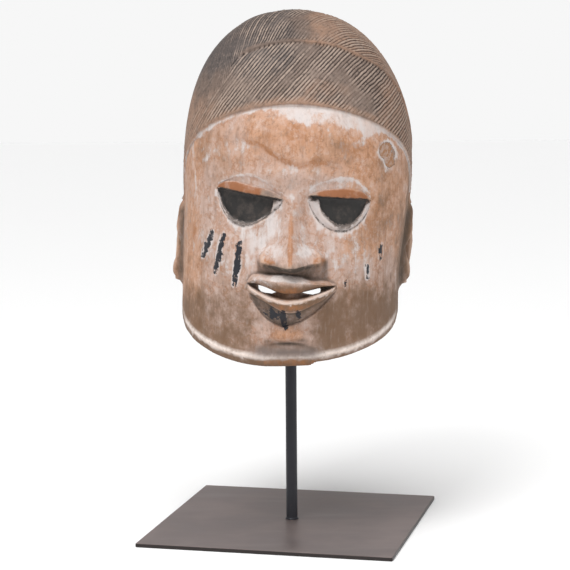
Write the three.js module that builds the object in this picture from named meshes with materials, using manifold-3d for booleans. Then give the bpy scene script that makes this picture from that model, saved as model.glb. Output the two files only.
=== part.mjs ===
// A carved helmet mask on its display stand.
// Millimetres, +Z up. The origin is the middle of the plate's underside, and the face looks along -Y.
import * as THREE from "three";
import { mergeVertices } from "three/addons/utils/BufferGeometryUtils.js";
import Module from "manifold-3d";

const wasm = await Module();
wasm.setup();

// The stand: a thin square plate and a round rod.
const PLATE_SIDE = 200;
const PLATE_THICKNESS = 3.2;
const PLATE_CORNER = 1.2;
const PLATE_TURN = THREE.MathUtils.degToRad(-11.8); // the plate sits turned a little against the face
const ROD_DIAMETER = 9;
const ROD_SIDES = 24;
const TOUCH_GAP = 0.3;

// The shell of the mask, without hair or features.
const CROWN_TOP = 406.5;
const EQUATOR = 285; // height where the head is widest
const HALF_WIDTH = 88;
const JAW_HALF_WIDTH = 85;
const FRONT_DEPTH = 99;
const MUZZLE_DEPTH = 103;
const BACK_DEPTH = 106;
const NAPE_DEPTH = 96;
const WALL = 8;
const LOG_DRIFT = 4.4; // the log was not quite straight: the temples stand a little to one side
const RIM_FRONT = 144; // height of the bottom edge under the chin
const RIM_RISE = 36; // how much higher it is at the sides
const RIM_BACK = 187;
const RIM_LOW_SIDE = 2.2; // one cheek reaches a little lower than the other
const RIM_CHIP = 2.3; // and a strip of the edge is broken away beside the chin
const RIM_BEVEL = 2;
const AXIS_X = 0.3; // the mask hangs a little to one side of the rod and leans
const LEAN = THREE.MathUtils.degToRad(1.2);
const LEAN_PIVOT = 140;

// The hair: a raised cap whose front band meets the crown band in a furrow from ear to ear.
const HAIR_THICKNESS = 2.4;
const HAIRLINE_FRONT = 337;
const HAIRLINE_BACK_ABOVE_RIM = 7;
const FURROW_DEPTH = 1.2;
const FURROW_FRONT = 384;

// The features, as heights and half-widths.
const NOSE = { x: 1.5, bridge: 277, tip: 223, foot: 212, height: 24, wing: 26 };
const EYES = [
  { inner: [-5, 268], outer: [-55.5, 275.6], drop: 23.3, skew: 0.54 },
  { inner: [14, 270], outer: [59.5, 267.5], drop: 24.6, skew: 0 },
];
const LID = { tall: 5.5, out: 3.2 }; // the heavy upper lid
const EYE_HOLLOW = 3.6;
const EYE_RIM = { wide: 3.5, groove: 1.2 }; // the flat rim under each eye and the line cut outside it
const MOUTH = { x: 2, half: 33, corner: 205, top: 213, bottom: 186, parting: 200, seam: 195, out: 9 };
const SLOTS = [
  { x: -16.2, z: 202.4, half: 7.1, tall: 6.2 },
  { x: 16.3, z: 201, half: 7.1, tall: 5 },
];
const SLOT_DROP = THREE.MathUtils.degToRad(7);
const CHIN = { z: 168, half: 17, out: 4 };
const CHIN_CREASE = 160;
const EAR = { y: 6, top: 259, bottom: 195, half: 15, topOut: 6.4, lowOut: 9.6, rib: 4.2, knob: 5.6 };
const EAR_BULGE = 1.4; // the ear on the right stands out a little more

const radians = THREE.MathUtils.degToRad;
const { lerp, clamp } = THREE.MathUtils;
const bump = (t) => Math.exp(-t * t);

// A smooth step from 0 to 1 as t goes from one value to the other, in either direction.
function ramp(from, to, t) {
  const share = clamp((t - from) / (to - from), 0, 1);
  return share * share * (3 - 2 * share);
}

// Height of the bottom edge at an angle: 0 in front, 90 degrees over an ear, 180 at the nape.
function rimHeight(angle) {
  const climb = RIM_FRONT + RIM_RISE * (1 - Math.cos(angle));
  const blend = 6;
  const gap = clamp(0.5 + (0.5 * (RIM_BACK - climb)) / blend, 0, 1);
  const even = lerp(RIM_BACK, climb, gap) - blend * gap * (1 - gap);
  const lowSide = ramp(radians(8), radians(-28), angle) * ramp(radians(-100), radians(-60), angle);
  const chip = ramp(radians(12), radians(16), angle) * ramp(radians(72), radians(34), angle);
  return even - RIM_LOW_SIDE * lowSide + RIM_CHIP * chip;
}

// Height of the lower edge of the hair at an angle.
function hairline(angle) {
  const turn = Math.min(Math.abs(angle), Math.PI / 2);
  const fall = 1 - Math.cos(turn);
  const front = HAIRLINE_FRONT - 54 * fall - 24 * fall ** 4;
  const behindEar = ramp(radians(97), radians(108), Math.abs(angle));
  return lerp(front, rimHeight(angle) + HAIRLINE_BACK_ABOVE_RIM, behindEar);
}

// How far a level of the head stands to one side.
const logDrift = (z) => LOG_DRIFT * (ramp(195, EQUATOR, z) - 0.75 * ramp(305, CROWN_TOP, z) - 0.25);

// Half-width, front depth and back depth of the bare head at a height, inset by a wall.
function section(z, inset) {
  const rise = clamp((z - EQUATOR) / (CROWN_TOP - inset - EQUATOR), 0, 1);
  const dome = (power) => (1 - rise ** power) ** (1 / power);
  const low = ramp(EQUATOR, 200, z);
  const muzzle = bump((z - 196) / 34);
  return {
    half: (lerp(HALF_WIDTH, JAW_HALF_WIDTH, low) - inset) * dome(2.24),
    front: (FRONT_DEPTH + (MUZZLE_DEPTH - FRONT_DEPTH) * muzzle - inset) * dome(2.05),
    back: (lerp(BACK_DEPTH, NAPE_DEPTH, ramp(260, RIM_BACK, z)) - inset) * dome(2.35),
  };
}

// A point of the bare head at an angle and a height.
function headPoint(angle, z, inset = 0) {
  const { half, front, back } = section(z, inset);
  const s = Math.sin(angle);
  const c = Math.cos(angle);
  const power = c > 0 ? 2.3 : 2.1;
  const reach = (Math.abs(s) ** power + Math.abs(c) ** power) ** (-1 / power);
  return new THREE.Vector3(half * s * reach + logDrift(z), -(c > 0 ? front : back) * c * reach, z);
}

// An eye hangs from a chord between its corners: the heavy lid lies on the chord, the hollowed
// half-moon hangs under it, and a flat rim with a cut line outside it runs round the half-moon.
function eyeRelief(eye, x, z) {
  const [ix, iz] = eye.inner;
  const [ox, oz] = eye.outer;
  const share = (x - ix) / (ox - ix);
  const over = z - lerp(iz, oz, share);
  const side = clamp(2 * share - 1, -1, 1);
  const full = 1 - side * side;
  const floor = eye.drop * full ** 0.62 * (1 + eye.skew * side);
  const lidTop = LID.tall * full ** 0.5;
  const lid = LID.out * full ** 0.3 * ramp(-1.5, 0.5, over) * ramp(lidTop + 1.5, lidTop - 1.5, over);
  const hollowFloor = floor - EYE_RIM.wide;
  const hollow = -EYE_HOLLOW * ramp(0, -2, over) * ramp(hollowFloor + 1, hollowFloor - 2, -over);
  const line = -EYE_RIM.groove * full ** 0.3 * bump((over + floor) / 1.8);
  const crease = -1.4 * full ** 0.5 * bump((over - lidTop - 4) / 4);
  return lid + hollow + line + crease;
}

// The nose: a ridge that grows to the tip, with a wing on either side and a flat underside.
function noseRelief(x, z) {
  const side = x - NOSE.x;
  const down = clamp((NOSE.bridge - z) / (NOSE.bridge - NOSE.tip), 0, 1);
  const under = ramp(NOSE.foot, NOSE.tip - 2, z);
  const halfRidge = lerp(6, NOSE.wing * 0.48, down ** 1.5);
  const ridge = NOSE.height * down ** 1.3 * bump(side / halfRidge);
  const wingTop = NOSE.tip + 22 - 0.7 * Math.abs(side);
  const spread = NOSE.wing * 0.65;
  const wings = 13 * ramp(wingTop, wingTop - 10, z) * (bump((side - spread) / 8) + bump((side + spread) / 8));
  return under * Math.max(ridge, wings, ridge * 0.75 + wings * 0.6);
}

// The mouth: an upper and a lower lip that meet in the corners, parted in the middle.
function mouthRelief(x, z) {
  const side = (x - MOUTH.x) / MOUTH.half;
  const across = clamp(Math.abs(side), 0, 1);
  const full = Math.sqrt(Math.max(0, 1 - side * side));
  const upperTop = lerp(MOUTH.top, MOUTH.corner, across ** 2.2) - 1.5 * bump(side / 0.12);
  const upperEdge = MOUTH.parting + 5.5 * ramp(0, 0.7, across) - 2 * ramp(0.7, 1, across);
  const lowerEdge = lerp(MOUTH.seam, MOUTH.corner, across ** 1.3);
  const lowerBottom = lerp(MOUTH.bottom, MOUTH.corner - 2, across ** 1.2);
  const lip = (a, b) => {
    const middle = (a + b) / 2;
    const halfTall = Math.max(2.6, Math.abs(b - a) / 2);
    return MOUTH.out * full ** 0.5 * Math.max(0, 1 - ((z - middle) / (halfTall + 1.2)) ** 4);
  };
  const gap = ramp(upperEdge + 1, upperEdge - 1, z) * ramp(lowerEdge - 1, lowerEdge + 1, z);
  return Math.max(lip(upperEdge, upperTop), lip(lowerBottom, lowerEdge)) - 3 * full * gap;
}

// How far the carving of the face stands forward of the bare head.
function faceRelief(x, z, aboveRim) {
  const forehead = 4.5 * bump((z - 318) / 20) * bump(x / 50) * ramp(292, 299, z);
  const brow = 1.6 * bump((z - 288) / 7) * bump(x / 55);
  const bridgeHollows = -4.5 * bump((z - 262) / 13) * (bump((x + 11) / 8) + bump((x - 15) / 8));
  const cheeks = 3 * bump((z - 228) / 20) * (bump((x + 44) / 18) + bump((x - 46) / 18));
  const muzzle = 5 * bump((z - 198) / 19) * bump(x / 32);
  const lipHollow = -3 * bump((z - 177) / 6) * bump(x / 24);
  const chin = CHIN.out * bump((z - CHIN.z) / 7) * bump(x / CHIN.half);
  const crease = -1.6 * bump((z - CHIN_CREASE) / 3) * bump(x / 26);
  const flare = 3.6 * ramp(14, 3, aboveRim);
  const eyes = EYES.reduce((sum, eye) => sum + eyeRelief(eye, x, z), 0);
  return forehead + brow + bridgeHollows + cheeks + muzzle + lipHollow + chin + crease + flare
    + eyes + noseRelief(x, z) + mouthRelief(x, z);
}

// An ear is a raised C, open to the front, that ends in a knob.
function earRelief(y, z, side) {
  const middle = (EAR.top + EAR.bottom) / 2;
  const tall = (EAR.top - EAR.bottom) / 2;
  const dy = (y - EAR.y) / EAR.half;
  const dz = (z - middle) / tall;
  const radius = Math.hypot(dy, dz);
  const openFront = 1 - 0.75 * bump((dy + 0.9) / 0.5) * bump((dz + 0.1) / 0.35);
  const bulge = side > 0 ? EAR_BULGE * bump((z - 228) / 16) : 0;
  const out = lerp(EAR.topOut, EAR.lowOut, ramp(250, 226, z)) + bulge;
  const rib = out * bump((radius - 0.78) * (EAR.half / EAR.rib)) * openFront;
  const floor = 1.2 * ramp(1, 0.7, radius);
  const knob = EAR.knob * bump((y - EAR.y + 6) / 6) * bump((z - EAR.bottom - 5) / 5);
  return Math.max(rib, floor, knob);
}

// Distance of a point from the furrow, measured along the crown: it runs over the head from ear to ear.
function furrowRelief(point) {
  const over = Math.atan2(point.z - EQUATOR, -point.y);
  const start = Math.atan2(FURROW_FRONT - EQUATOR, 62);
  const bow = 0.42 * (Math.abs(point.x) / HALF_WIDTH) ** 2;
  const reach = ramp(EQUATOR + 15, EQUATOR + 30, point.z);
  return -FURROW_DEPTH * reach * bump(((over - start + bow) * 100) / 5);
}

// A point of the finished outer surface.
function outerPoint(angle, z) {
  const point = headPoint(angle, z);
  const step = 1e-3;
  const around = headPoint(angle + step, z).sub(headPoint(angle - step, z));
  const up = headPoint(angle, z + step * 50).sub(headPoint(angle, z - step * 50));
  const normal = around.cross(up).normalize();
  const front = ramp(radians(88), radians(60), Math.abs(angle));
  const thinSides = 1 - 0.4 * bump((Math.abs(angle) - radians(88)) / radians(35));
  const hair = HAIR_THICKNESS * thinSides * ramp(-3, 3, z - hairline(angle)) + furrowRelief(point);
  const forward = front * ramp(348, 330, z) * faceRelief(point.x, z, z - rimHeight(angle));
  const ear = ramp(radians(50), radians(75), Math.abs(angle)) * ramp(radians(130), radians(110), Math.abs(angle));
  const sideways = ear * earRelief(point.y, z, angle) * Math.sign(angle);
  return point.addScaledVector(normal, hair).add(new THREE.Vector3(sideways, -forward, 0));
}

// Steps that crowd where the carving is: each zone runs to an end value in a number of steps.
function zones(start, list) {
  const values = [];
  let from = start;
  for (const [to, count] of list) {
    for (let i = 0; i < count; i++) values.push(lerp(from, to, i / count));
    from = to;
  }
  values.push(from);
  return values;
}
const halfAngles = zones(0, [[14, 7], [32, 6], [58, 6], [76, 3], [104, 8], [180, 6]]).map(radians);
const ANGLES = [...halfAngles.slice(1).reverse().map((a) => -a), ...halfAngles.slice(0, -1)];
const FACE_ROWS = zones(0, [[0.014, 1], [0.1, 3], [0.28, 5], [0.57, 15], [0.75, 5], [1, 9]]).slice(0, -1);
const DOME_ROWS = zones(0, [[0.34, 8], [0.7, 6], [0.95, 3]]);

// Rings of points from the bottom edge to the crown, then one point on top.
function rings(angles, rows, domeRows, inset, pointAt, edge) {
  const top = CROWN_TOP - inset;
  const list = rows.map((row) => angles.map((a) => {
    const base = rimHeight(a) + edge;
    return pointAt(a, lerp(base, EQUATOR, row));
  }));
  for (const row of domeRows) {
    const rise = Math.sin((row * Math.PI) / 2) ** (2 / 2.2);
    list.push(angles.map((a) => pointAt(a, lerp(EQUATOR, top, rise))));
  }
  return list;
}

// Triangles of a closed shell: the outer rings, the bottom edge, and the inner rings turned over.
function shellGeometry() {
  const triangles = [];
  const add = (a, b, c) => triangles.push(a, b, c);
  const strip = (low, high) => low.forEach((_, j) => {
    const next = (j + 1) % low.length;
    const [p, q, r, s] = [low[j], low[next], high[next], high[j]];
    if (p.distanceTo(r) < q.distanceTo(s)) {
      add(p, q, r);
      add(p, r, s);
    } else {
      add(p, q, s);
      add(q, r, s);
    }
  });
  const cap = (ring, apex) => ring.forEach((_, j) => add(ring[j], ring[(j + 1) % ring.length], apex));

  const outer = rings(ANGLES, FACE_ROWS, DOME_ROWS, 0, outerPoint, RIM_BEVEL * 0.6);
  for (let i = 0; i + 1 < outer.length; i++) strip(outer[i], outer[i + 1]);
  cap(outer.at(-1), new THREE.Vector3(0, 0, CROWN_TOP + HAIR_THICKNESS));

  const innerAngles = ANGLES.filter((_, j) => j % 2 === 0);
  const innerAt = (a, z) => headPoint(a, z, WALL);
  const inner = rings(innerAngles, zones(0, [[1, 8]]).slice(0, -1), zones(0, [[0.92, 7]]), WALL, innerAt, RIM_BEVEL);
  const outwards = triangles.length;
  for (let i = 0; i + 1 < inner.length; i++) strip(inner[i], inner[i + 1]);
  cap(inner.at(-1), new THREE.Vector3(0, 0, CROWN_TOP - WALL));
  const turned = triangles.splice(outwards);
  for (let i = 0; i < turned.length; i += 3) add(turned[i], turned[i + 2], turned[i + 1]);

  const edgeOut = outer[0].map((p) => p.clone().multiply(new THREE.Vector3(0.982, 0.982, 1)).setZ(p.z - RIM_BEVEL * 0.6));
  strip(edgeOut, outer[0]);
  innerAngles.forEach((_, j) => {
    const a = edgeOut[2 * j];
    const b = edgeOut[2 * j + 1];
    const c = edgeOut[(2 * j + 2) % edgeOut.length];
    const here = inner[0][j];
    const next = inner[0][(j + 1) % innerAngles.length];
    add(here, b, a);
    add(here, next, b);
    add(next, c, b);
  });
  return new THREE.BufferGeometry().setFromPoints(triangles);
}

function toSolid(geometry) {
  const bare = new THREE.BufferGeometry();
  const source = geometry.index ? geometry.toNonIndexed() : geometry;
  bare.setAttribute("position", source.getAttribute("position"));
  const merged = mergeVertices(bare, 1e-3);
  return new wasm.Manifold(new wasm.Mesh({
    numProp: 3,
    vertProperties: merged.attributes.position.array,
    triVerts: new Uint32Array(merged.index.array),
  }));
}

function toGeometry(solid) {
  const mesh = solid.getMesh();
  const geometry = new THREE.BufferGeometry();
  geometry.setAttribute("position", new THREE.BufferAttribute(mesh.vertProperties, 3));
  geometry.setIndex(new THREE.BufferAttribute(mesh.triVerts, 1));
  geometry.computeVertexNormals();
  return geometry;
}

// A slot of the mouth: a pointed lens driven through the front wall, sinking a little as it goes in.
function slotGeometry({ x, z, half, tall }) {
  const lens = new THREE.Shape();
  lens.moveTo(-half, 0);
  lens.bezierCurveTo(-half * 0.5, tall * 0.66, half * 0.5, tall * 0.66, half, 0);
  lens.bezierCurveTo(half * 0.5, -tall * 0.66, -half * 0.5, -tall * 0.66, -half, 0);
  const length = 60;
  const geometry = new THREE.ExtrudeGeometry(lens, { depth: length, bevelEnabled: false, curveSegments: 6 });
  geometry.translate(0, 0, -length / 2);
  geometry.rotateX(Math.PI / 2 + SLOT_DROP);
  const frontFace = -(MUZZLE_DEPTH + MOUTH.out);
  return geometry.translate(x, frontFace, z);
}

function mask() {
  let solid = toSolid(shellGeometry());
  for (const slot of SLOTS) solid = solid.subtract(toSolid(slotGeometry(slot)));
  const wood = new THREE.MeshStandardMaterial({ color: 0xa9866f, roughness: 0.8, metalness: 0 });
  const mesh = new THREE.Mesh(toGeometry(solid), wood);
  mesh.name = "mask";
  mesh.geometry.translate(0, 0, -LEAN_PIVOT);
  mesh.rotation.y = LEAN;
  mesh.position.set(AXIS_X, 0, LEAN_PIVOT);
  return mesh;
}

// The rod's flat end stops just under the crown, where the mask rests on it.
function rod() {
  const crownAtRod = CROWN_TOP - WALL - 0.4;
  const bottom = PLATE_THICKNESS + TOUCH_GAP;
  const length = crownAtRod - TOUCH_GAP - bottom;
  const geometry = new THREE.CylinderGeometry(ROD_DIAMETER / 2, ROD_DIAMETER / 2, length, ROD_SIDES);
  geometry.rotateX(Math.PI / 2);
  const steel = new THREE.MeshStandardMaterial({ color: 0x2b2a2d, roughness: 0.45, metalness: 0.6 });
  const mesh = new THREE.Mesh(geometry, steel);
  mesh.name = "post";
  mesh.position.z = bottom + length / 2;
  return mesh;
}

function basePlate() {
  const half = PLATE_SIDE / 2;
  const corner = half - PLATE_CORNER;
  const outline = new THREE.Shape();
  [0, 1, 2, 3].forEach((quarter) => {
    const start = (quarter * Math.PI) / 2;
    const spin = new THREE.Vector2(corner, corner).rotateAround(new THREE.Vector2(), start);
    outline.absarc(spin.x, spin.y, PLATE_CORNER, start, start + Math.PI / 2, false);
  });
  outline.closePath();
  const geometry = new THREE.ExtrudeGeometry(outline, {
    depth: PLATE_THICKNESS,
    bevelEnabled: false,
    curveSegments: 4,
  });
  const steel = new THREE.MeshStandardMaterial({ color: 0x6f6a69, roughness: 0.4, metalness: 0.6 });
  const mesh = new THREE.Mesh(geometry, steel);
  mesh.name = "base_plate";
  mesh.rotation.z = PLATE_TURN;
  return mesh;
}

const part = new THREE.Group();
part.add(basePlate(), rod(), mask());
export default part;
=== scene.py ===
# %% [markdown]
# # A carved helmet mask on its rod and plate
# The object has three pieces: a hollow wooden helmet mask, the round rod that carries it, and the
# square steel plate that the rod stands on. The measured model comes first, as a fixed frame. Each
# piece made below sits exactly where its measured solid sits, because both use the same sizes.

# %% Load the measured frame
import math

import bmesh
import bpy
import numpy as np
from mathutils import Matrix, Vector


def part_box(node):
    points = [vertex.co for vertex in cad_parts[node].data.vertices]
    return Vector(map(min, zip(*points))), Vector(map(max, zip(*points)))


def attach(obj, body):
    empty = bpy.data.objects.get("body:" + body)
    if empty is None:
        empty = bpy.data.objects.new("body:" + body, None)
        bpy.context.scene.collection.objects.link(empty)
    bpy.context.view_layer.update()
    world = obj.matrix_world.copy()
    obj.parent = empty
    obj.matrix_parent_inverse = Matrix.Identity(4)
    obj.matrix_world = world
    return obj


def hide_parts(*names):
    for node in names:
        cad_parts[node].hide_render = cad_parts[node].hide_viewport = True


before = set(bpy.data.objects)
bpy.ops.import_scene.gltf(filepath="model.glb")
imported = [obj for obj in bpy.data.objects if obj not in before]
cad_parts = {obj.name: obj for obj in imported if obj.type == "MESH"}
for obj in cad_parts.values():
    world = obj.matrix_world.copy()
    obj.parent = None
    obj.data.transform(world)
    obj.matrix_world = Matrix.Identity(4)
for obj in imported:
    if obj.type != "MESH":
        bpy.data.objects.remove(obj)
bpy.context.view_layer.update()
MM = 0.001


def add_object(name, data):
    """Makes an object and puts it into the scene."""
    made = bpy.data.objects.new(name, data)
    bpy.context.collection.objects.link(made)
    return made


def node_material(name):
    """A surface that is described by nodes."""
    made = bpy.data.materials.new(name)
    made.use_nodes = True
    return made


# %% [markdown]
# ## Camera
# The plate is a true square, so its four corners in the picture give away where the lens stood: a
# long lens, one and a half metres from the rod, level with the hair and looking slightly down.
# A camera placed with a matrix keeps that small roll, which an aimed camera would lose.

# %% Place the camera
LENS_DISTANCE = 1.5094
LENS_HEIGHT = 0.383
LENS_SIDE = math.radians(1.5)
LOOK_SIDE = math.radians(1.66)
LOOK_DOWN = math.radians(7.19)
LOOK_ROLL = math.radians(-0.43)
SENSOR = 36.0
FOCAL_IN_PIXELS = 1920
PICTURE = 570

back = Vector((
    math.sin(LOOK_SIDE) * math.cos(LOOK_DOWN),
    -math.cos(LOOK_SIDE) * math.cos(LOOK_DOWN),
    math.sin(LOOK_DOWN),
))
level = (-back).cross(Vector((0, 0, 1))).normalized()
upright = level.cross(-back)
right = level * math.cos(LOOK_ROLL) + upright * math.sin(LOOK_ROLL)
up = upright * math.cos(LOOK_ROLL) - level * math.sin(LOOK_ROLL)
lens = bpy.data.cameras.new("camera")
lens.sensor_width = SENSOR
lens.lens = FOCAL_IN_PIXELS / PICTURE * SENSOR
camera = add_object("camera", lens)
camera.matrix_world = Matrix((right, up, back)).transposed().to_4x4()
camera.location = (
    LENS_DISTANCE * math.sin(LENS_SIDE),
    -LENS_DISTANCE * math.cos(LENS_SIDE),
    LENS_HEIGHT,
)
bpy.context.scene.camera = camera
print("camera: %.0f mm lens" % lens.lens)

# %% [markdown]
# ## Light and floor
# A studio picture of dry wood wants large soft lamps: a key from the upper left that models the
# brow, the nose and the lips, a weaker fill from the right, and a wide even light from above that
# whitens the floor. The surround is bright near the horizon, which the satin steel reflects.

# %% Hang the lamps
LOOK_AT = Vector((0, 0, 0.25))
LAMPS = {
    "key_lamp": dict(place=(-0.55, -1.1, 1.55), size=0.6, energy=12.5),
    "fill_lamp": dict(place=(1.3, -1.2, 1.0), size=1.0, energy=4.0),
}
CEILING_POWER = 2.2
CEILING_SPREAD = math.radians(50)
CEILING_AIM = Vector((0.1, 0.35, -1.0))


def hang(name, kind, aim, place=(0, 0, 0), **settings):
    """Hangs a lamp that shines along aim."""
    light = bpy.data.lights.new(name, kind)
    for key, value in settings.items():
        setattr(light, key, value)
    holder = add_object(name, light)
    holder.location = place
    holder.rotation_euler = aim.to_track_quat("-Z", "Y").to_euler()


for lamp_name, lamp in LAMPS.items():
    hang(lamp_name, "AREA", LOOK_AT - Vector(lamp["place"]), **lamp)
hang("ceiling", "SUN", CEILING_AIM, energy=CEILING_POWER, angle=CEILING_SPREAD)
print("lamps:", ", ".join(LAMPS), "and a ceiling")

# %% Light the surround and lay the floor
SKY_FADE = (0.03, 0.4)
SKY_STRENGTH = (0.93, 0.26)
world = bpy.data.worlds.new("studio")
world.use_nodes = True
sky = world.node_tree
surround = sky.nodes["Background"]
surround.inputs["Color"].default_value = (1.0, 1.0, 1.0, 1)
direction = sky.nodes.new("ShaderNodeTexCoord")
parts = sky.nodes.new("ShaderNodeSeparateXYZ")
fade = sky.nodes.new("ShaderNodeMapRange")
for socket, value in zip(fade.inputs[1:5], SKY_FADE + SKY_STRENGTH):
    socket.default_value = value
sky.links.new(direction.outputs["Generated"], parts.inputs[0])
sky.links.new(parts.outputs["Z"], fade.inputs[0])
sky.links.new(fade.outputs[0], surround.inputs["Strength"])
bpy.context.scene.world = world
bpy.context.scene.view_settings.view_transform = "Standard"

FLOOR_SIDE = 12.0
FLOOR_ALBEDO = 0.98
floor_mesh = bpy.data.meshes.new("floor")
half = FLOOR_SIDE / 2
corners = [(-half, -half, 0), (half, -half, 0), (half, half, 0), (-half, half, 0)]
floor_mesh.from_pydata(corners, [], [(0, 1, 2, 3)])
floor = add_object("floor", floor_mesh)
floor_paint = node_material("pale_floor")
floor_shader = floor_paint.node_tree.nodes["Principled BSDF"]
floor_shader.inputs["Base Color"].default_value = (FLOOR_ALBEDO, FLOOR_ALBEDO, FLOOR_ALBEDO, 1)
floor_shader.inputs["Roughness"].default_value = 0.9
floor_mesh.materials.append(floor_paint)
print("surround: strength %.2f down to %.2f, floor %.0f m wide" % (*SKY_STRENGTH, FLOOR_SIDE))

# %% [markdown]
# ## The head as one formula
# A helmet mask is carved from one round of a log, so every level of it is a rounded section: a
# superellipse whose half-width and depths change with height. The same formula, moved inward by
# the wall, gives the hollow. All carving below is done in millimetres on arrays of points, one
# row for each level and one column for each direction, where 0 is straight ahead.

# %% Sizes and sections of the bare head
CROWN_TOP = 406.5
EQUATOR = 285.0
HALF_WIDTH = 88.0
JAW_HALF_WIDTH = 85.0
LOG_DRIFT = 4.4
FRONT_DEPTH = 99.0
MUZZLE_DEPTH = 103.0
BACK_DEPTH = 106.0
NAPE_DEPTH = 96.0
WALL = 8.0
RIM_FRONT = 144.0
RIM_RISE = 36.0
RIM_BACK = 187.0
RIM_BLEND = 6.0
DOME_POWERS = dict(across=2.24, front=2.05, behind=2.35)
SECTION_POWERS = (2.3, 2.1)
AXIS_X = 0.3
LEAN = math.radians(1.2)
LEAN_PIVOT = 140.0


def ramp(start, end, value):
    """A smooth step from 0 to 1 as value goes from start to end, in either direction."""
    share = np.clip((value - start) / (end - start), 0, 1)
    return share * share * (3 - 2 * share)


def slope(start, end, value):
    """A straight step from 0 to 1."""
    return np.clip((value - start) / (end - start), 0, 1)


def bump(value):
    return np.exp(-value * value)


def largest(*fields):
    return np.maximum.reduce(np.broadcast_arrays(*fields))


def section(z, levels):
    """Straight flanks between (height, amount) pairs that are given from the top down."""
    upper, start = levels[0]
    amount = start + 0 * z
    for lower, end in levels[1:]:
        lower = np.minimum(lower, upper - 0.05)
        amount = amount + (end - start) * slope(upper, lower, z)
        upper, start = lower, end
    return amount


def curve(value, points):
    """A smooth line through a few (position, height) points."""
    places, heights = np.array(points, float).T
    tilt = np.gradient(heights, places)
    i = np.clip(np.searchsorted(places, value) - 1, 0, len(places) - 2)
    gap = places[i + 1] - places[i]
    t = np.clip((value - places[i]) / gap, 0, 1)
    start = (1 + 2 * t) * (1 - t) ** 2 * heights[i] + t * (1 - t) ** 2 * gap * tilt[i]
    return start + t * t * (3 - 2 * t) * heights[i + 1] + t * t * (t - 1) * gap * tilt[i + 1]


def rim_height(angle, chipped=1.0):
    """The bottom edge: lowest under the chin, climbing to the level nape, a little low on one side."""
    climb = RIM_FRONT + RIM_RISE * (1 - np.cos(angle))
    gap = np.clip(0.5 + 0.5 * (RIM_BACK - climb) / RIM_BLEND, 0, 1)
    smooth = RIM_BACK + (climb - RIM_BACK) * gap - RIM_BLEND * gap * (1 - gap)
    degrees = np.degrees(angle)
    low_side = -2.2 * ramp(8, -28, degrees) * ramp(-100, -60, degrees)
    chip = 2.3 * ramp(11.2, 15.6, degrees + 0.5 * np.sin(degrees * 5)) * ramp(72, 34, degrees)
    return smooth + low_side + chipped * chip


def log_drift(z):
    """The log was not quite straight: the temples stand a little to one side of the jaw and crown."""
    return LOG_DRIFT * (ramp(195, EQUATOR, z) - 0.75 * ramp(305, CROWN_TOP, z) - 0.25)


def head_point(angle, z, inset=0.0):
    """A point of the bare head, moved inward by inset."""
    rise = np.clip((z - EQUATOR) / (CROWN_TOP - inset - EQUATOR), 0, 1)
    dome = {name: (1 - rise**power) ** (1 / power) for name, power in DOME_POWERS.items()}
    low = ramp(EQUATOR, 200, z)
    muzzle = bump((z - 196) / 34)
    nape = ramp(260, RIM_BACK, z)
    across = (HALF_WIDTH + (JAW_HALF_WIDTH - HALF_WIDTH) * low - inset) * dome["across"]
    front = (FRONT_DEPTH + (MUZZLE_DEPTH - FRONT_DEPTH) * muzzle - inset) * dome["front"]
    behind = (BACK_DEPTH + (NAPE_DEPTH - BACK_DEPTH) * nape - inset) * dome["behind"]
    side, ahead = np.sin(angle), np.cos(angle)
    power = np.where(ahead > 0, *SECTION_POWERS)
    reach = (np.abs(side) ** power + np.abs(ahead) ** power) ** (-1 / power)
    depth = np.where(ahead > 0, front, behind)
    places = across * side * reach + log_drift(z), -depth * ahead * reach, z
    return np.stack(np.broadcast_arrays(*places), -1)


print("bare head: %.0f mm wide, %.0f mm deep" % (2 * HALF_WIDTH, FRONT_DEPTH + BACK_DEPTH))

# %% [markdown]
# ## The carving of the face
# Each feature is a height over the bare head, added straight forward, so that it stays where it
# is seen from the front. The lines that matter, such as the edge of a lid or a lip, are short
# lists of points with a smooth curve through them, and the planes between them are ramps.

# %% Eyes: lid, half-moon, rim and brow line
EYES = {
    "left": dict(
        outer=(-55.4, 275.6), inner=(-5.0, 267.9), rim_drop=23.2, rim_power=0.68, rim_skew=-0.45,
        lid=[(-56, 275.8), (-49.2, 279.9), (-42, 280.4), (-29.6, 277.6), (-12.3, 273.1), (-4, 268.6)],
        brow=[(-62, 274.5), (-54, 278.6), (-45, 283), (-36, 286), (-28, 286), (-20, 282.4), (-12, 277.2),
              (-3, 270.5)],
        black=[(-56, 276), (-52.8, 270), (-50.6, 264), (-47.4, 257.8), (-42.7, 253.6), (-38, 251.2),
               (-33, 250.3), (-27.8, 250.9), (-22.5, 252.8), (-18, 255), (-15, 258.6), (-13.4, 263.5),
               (-12.4, 268.4), (-4, 269)],
    ),
    "right": dict(
        outer=(59.6, 268.0), inner=(12.9, 271.2), rim_drop=24.6, rim_power=0.6, rim_skew=0.0,
        lid=[(12, 271.0), (22.3, 274.6), (29.5, 275.8), (45.3, 275.5), (52.1, 274.0), (60, 268.2)],
        brow=[(8, 270.8), (18.9, 279.1), (34.6, 283.7), (45.2, 283.7), (54.6, 276.6), (61, 269.5)],
        black=[(12, 270), (17.7, 268.4), (21.4, 267), (22.3, 263.5), (24.6, 259.4), (28.1, 255),
               (31.6, 251.8), (36.8, 249.7), (41.1, 249.9), (46.4, 252.1), (50.7, 255.3), (53.3, 259.4),
               (55.1, 263.5), (60.5, 268)],
    ),
}


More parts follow.
